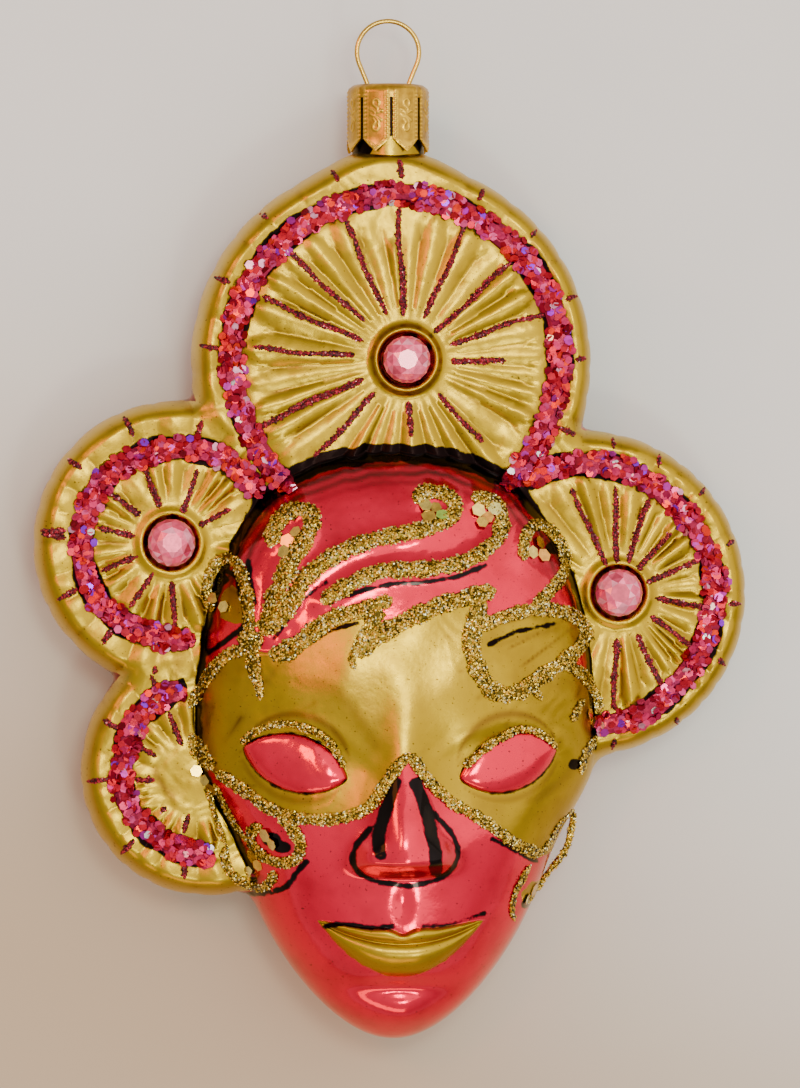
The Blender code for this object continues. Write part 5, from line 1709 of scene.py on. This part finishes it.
class DrawRays(bpy.types.Operator):
    """Draws the dark red lines of fine glitter that run out from each hub"""

    bl_idname = "ornament.draw_rays"
    bl_label = "Draw rays"

    def execute(self, context):
        settings = context.scene.ornament_glitter
        finish = tinted("fine_dark_red_glitter", 0.6, 0.35)
        for number, fan in enumerate(FANS):
            heap = Heap()
            random = np.random.default_rng(settings.seed + RAY_SEED + number)
            for degrees, start, end in fan.rays:
                along = np.arange(start, end + 0.2, 0.45) * MM
                bend = math.radians(degrees) + 0.012 * np.sin(along / (2.2 * MM) + degrees)
                path = np.column_stack([fan.hub_x + along * np.cos(bend), fan.hub_y + along * np.sin(bend)])
                path = path[head_front(*path.T) < fan_front(*path.T)]
                if len(path) < 3:
                    continue
                half = rounded_widths(path, settings.ray_width, 0.8 * settings.ray_width)
                half = half * (1 + 0.22 * random.normal(size=len(path))).clip(0.5, 1.5)
                granular(heap, path, half, settings.grain_radius, RED_GRAINS_AND_GLINTS, random)
            heap.piece(f"ray_glitter_{fan.name}", finish, [], "pink_glitter")
        return {"FINISHED"}


LIGHTS = (  # name, place, size, strength as a share of the key light, colour
    ("window_right", (0.48, 0.20, 0.55), (1.00, 1.20), 1.0, "#FFFAF2"),
    ("lamp_left", (-0.46, 0.26, 0.42), (0.12, 0.30), 0.19, "#FF9A30"),
    ("lamp_warm", (-0.30, 0.17, 0.78), (0.22, 0.10), 0.22, "#FF7A0C"),
    ("lamp_front", (0.12, -0.34, 0.72), (0.11, 0.11), 0.28, "#F4FFE4"),
    ("lamp_low", (-0.10, -0.60, 0.32), (0.50, 0.16), 0.20, "#FFC890"),
    ("overhead", (0.03, 0.12, 0.85), (0.15, 0.15), 0.50, "#F6FFE4"),
)
SKY = ((0.0, "#D4CCC0"), (0.30, "#B0A89C"), (0.65, "#D4D0CC"), (1.0, "#EAE8E6"))  # by height
SKY_STRENGTH = 1.42
FLOOR_REACH = 2.0
AIM = (1.6 * MM, -2.6 * MM, SEAM_HEIGHT)  # what the middle of the frame shows


class SetStage(bpy.types.Operator):
    """Sets the stage: a pale floor, soft studio lights and the camera"""

    bl_idname = "ornament.set_stage"
    bl_label = "Set stage"

    def execute(self, context):
        settings = context.scene.ornament_stage
        self.floor(settings)
        self.lights(settings)
        self.camera(settings, context.scene)
        return {"FINISHED"}

    def floor(self, settings):
        mesh = bpy.data.meshes.new("floor")
        corners = [(x * FLOOR_REACH, y * FLOOR_REACH, 0) for x, y in ((-1, -1), (1, -1), (1, 1), (-1, 1))]
        mesh.from_pydata(corners, [], [(0, 1, 2, 3)])
        floor = bpy.data.objects.new("floor", mesh)
        bpy.context.scene.collection.objects.link(floor)
        finish, tree, shader, fibre = new_finish("matt_pale_paper", (25, 5))
        place = add_node(tree, "TexCoord", output="Object")
        across, up = add_node(tree, "SeparateXYZ", {0: place}).node.outputs[:2]
        corner = add_node(tree, "Math", {0: across, 1: 0.55, 2: up}, operation="MULTIPLY_ADD")
        # Darker and warmer towards the lower left: painted shade on the paper
        warm = add_node(
            tree, "MapRange", {"Value": corner, "From Min": 30 * MM, "From Max": -110 * MM},
            interpolation_type="SMOOTHSTEP",
        )
        warm_floor_shade = (*settings.warm_floor_shade, 1)
        tone = coats(tree, (*settings.floor, 1), (fibre, opaque("#D2D1D4")), (warm, warm_floor_shade))
        set_inputs(shader, {"Base Color": tone, "Roughness": 0.85})
        mesh.materials.append(finish)

    def lights(self, settings):
        target = Vector((0, 0, SEAM_HEIGHT))
        for name, place, size, share, code in LIGHTS:
            light = bpy.data.lights.new(name, "AREA")
            light.shape = "RECTANGLE"
            light.size, light.size_y = size
            light.energy = settings.key * share
            light.color = linear(code)
            thing = bpy.data.objects.new(name, light)
            thing.location = place
            thing.rotation_euler = (target - Vector(place)).to_track_quat("-Z", "Y").to_euler()
            thing.visible_camera = False
            bpy.context.scene.collection.objects.link(thing)
        world = bpy.data.worlds.new("room")
        bpy.context.scene.world = world
        world.use_nodes = True
        tree = world.node_tree
        way = add_node(tree, "TexCoord", output="Generated")
        height = add_node(tree, "SeparateXYZ", {0: way}, "Z")
        sky = add_node(tree, "ValToRGB", {"Fac": height}, stops=SKY)
        set_inputs(tree.nodes["Background"], {"Color": sky, "Strength": SKY_STRENGTH})

    def camera(self, settings, scene):
        data = bpy.data.cameras.new("camera")
        data.sensor_fit = "HORIZONTAL"
        data.sensor_width = 36
        data.lens = data.sensor_width * settings.distance / settings.width
        data.clip_start = 0.01
        lean = math.radians(SIGHT_LEAN)
        way = Vector((-math.sin(lean), 0, math.cos(lean)))
        camera = bpy.data.objects.new("camera", data)
        camera.location = Vector(AIM) + way * settings.distance
        right = Vector((0, 1, 0)).cross(way).normalized()
        camera.rotation_euler = Matrix((right, way.cross(right), way)).transposed().to_euler()
        scene.collection.objects.link(camera)
        scene.camera = camera


class OrnamentPanel(bpy.types.Panel):
    bl_idname = "VIEW3D_PT_ornament"
    bl_label = "Carnival mask ornament"
    bl_space_type = "VIEW_3D"
    bl_region_type = "UI"
    bl_category = "Ornament"

    def draw(self, context):
        for title, (key, _) in zip(("Glass", "Glitter", "Metal", "Stage"), SETTINGS):
            box = self.layout.box()
            box.label(text=title)
            group = getattr(context.scene, key)
            for name in group.bl_rna.properties.keys():
                if name not in ("rna_type", "name"):
                    box.prop(group, name)
        for operator in OPERATORS:
            self.layout.operator(operator.bl_idname)


SETTINGS = (
    ("ornament_glass", GlassSettings),
    ("ornament_glitter", GlitterSettings),
    ("ornament_metal", MetalSettings),
    ("ornament_stage", StageSettings),
)
OPERATORS = (
    SetStage, BlowGlass, StampCap, BendWire, CutStones, StickFlakes, LayTrails, SetSequins, DrawRays,
)


def register():
    for _, group in SETTINGS:
        bpy.utils.register_class(group)
    for made in (*OPERATORS, OrnamentPanel):
        bpy.utils.register_class(made)
    for key, group in SETTINGS:
        setattr(bpy.types.Scene, key, PointerProperty(type=group))


def unregister():
    for key, _ in SETTINGS:
        delattr(bpy.types.Scene, key)
    for made in (OrnamentPanel, *OPERATORS[::-1]):
        bpy.utils.unregister_class(made)
    for _, group in SETTINGS[::-1]:
        bpy.utils.unregister_class(group)


def main():
    register()
    for operator in OPERATORS:
        category, name = operator.bl_idname.split(".")
        getattr(getattr(bpy.ops, category), name)()


if __name__ == "__main__":
    main()
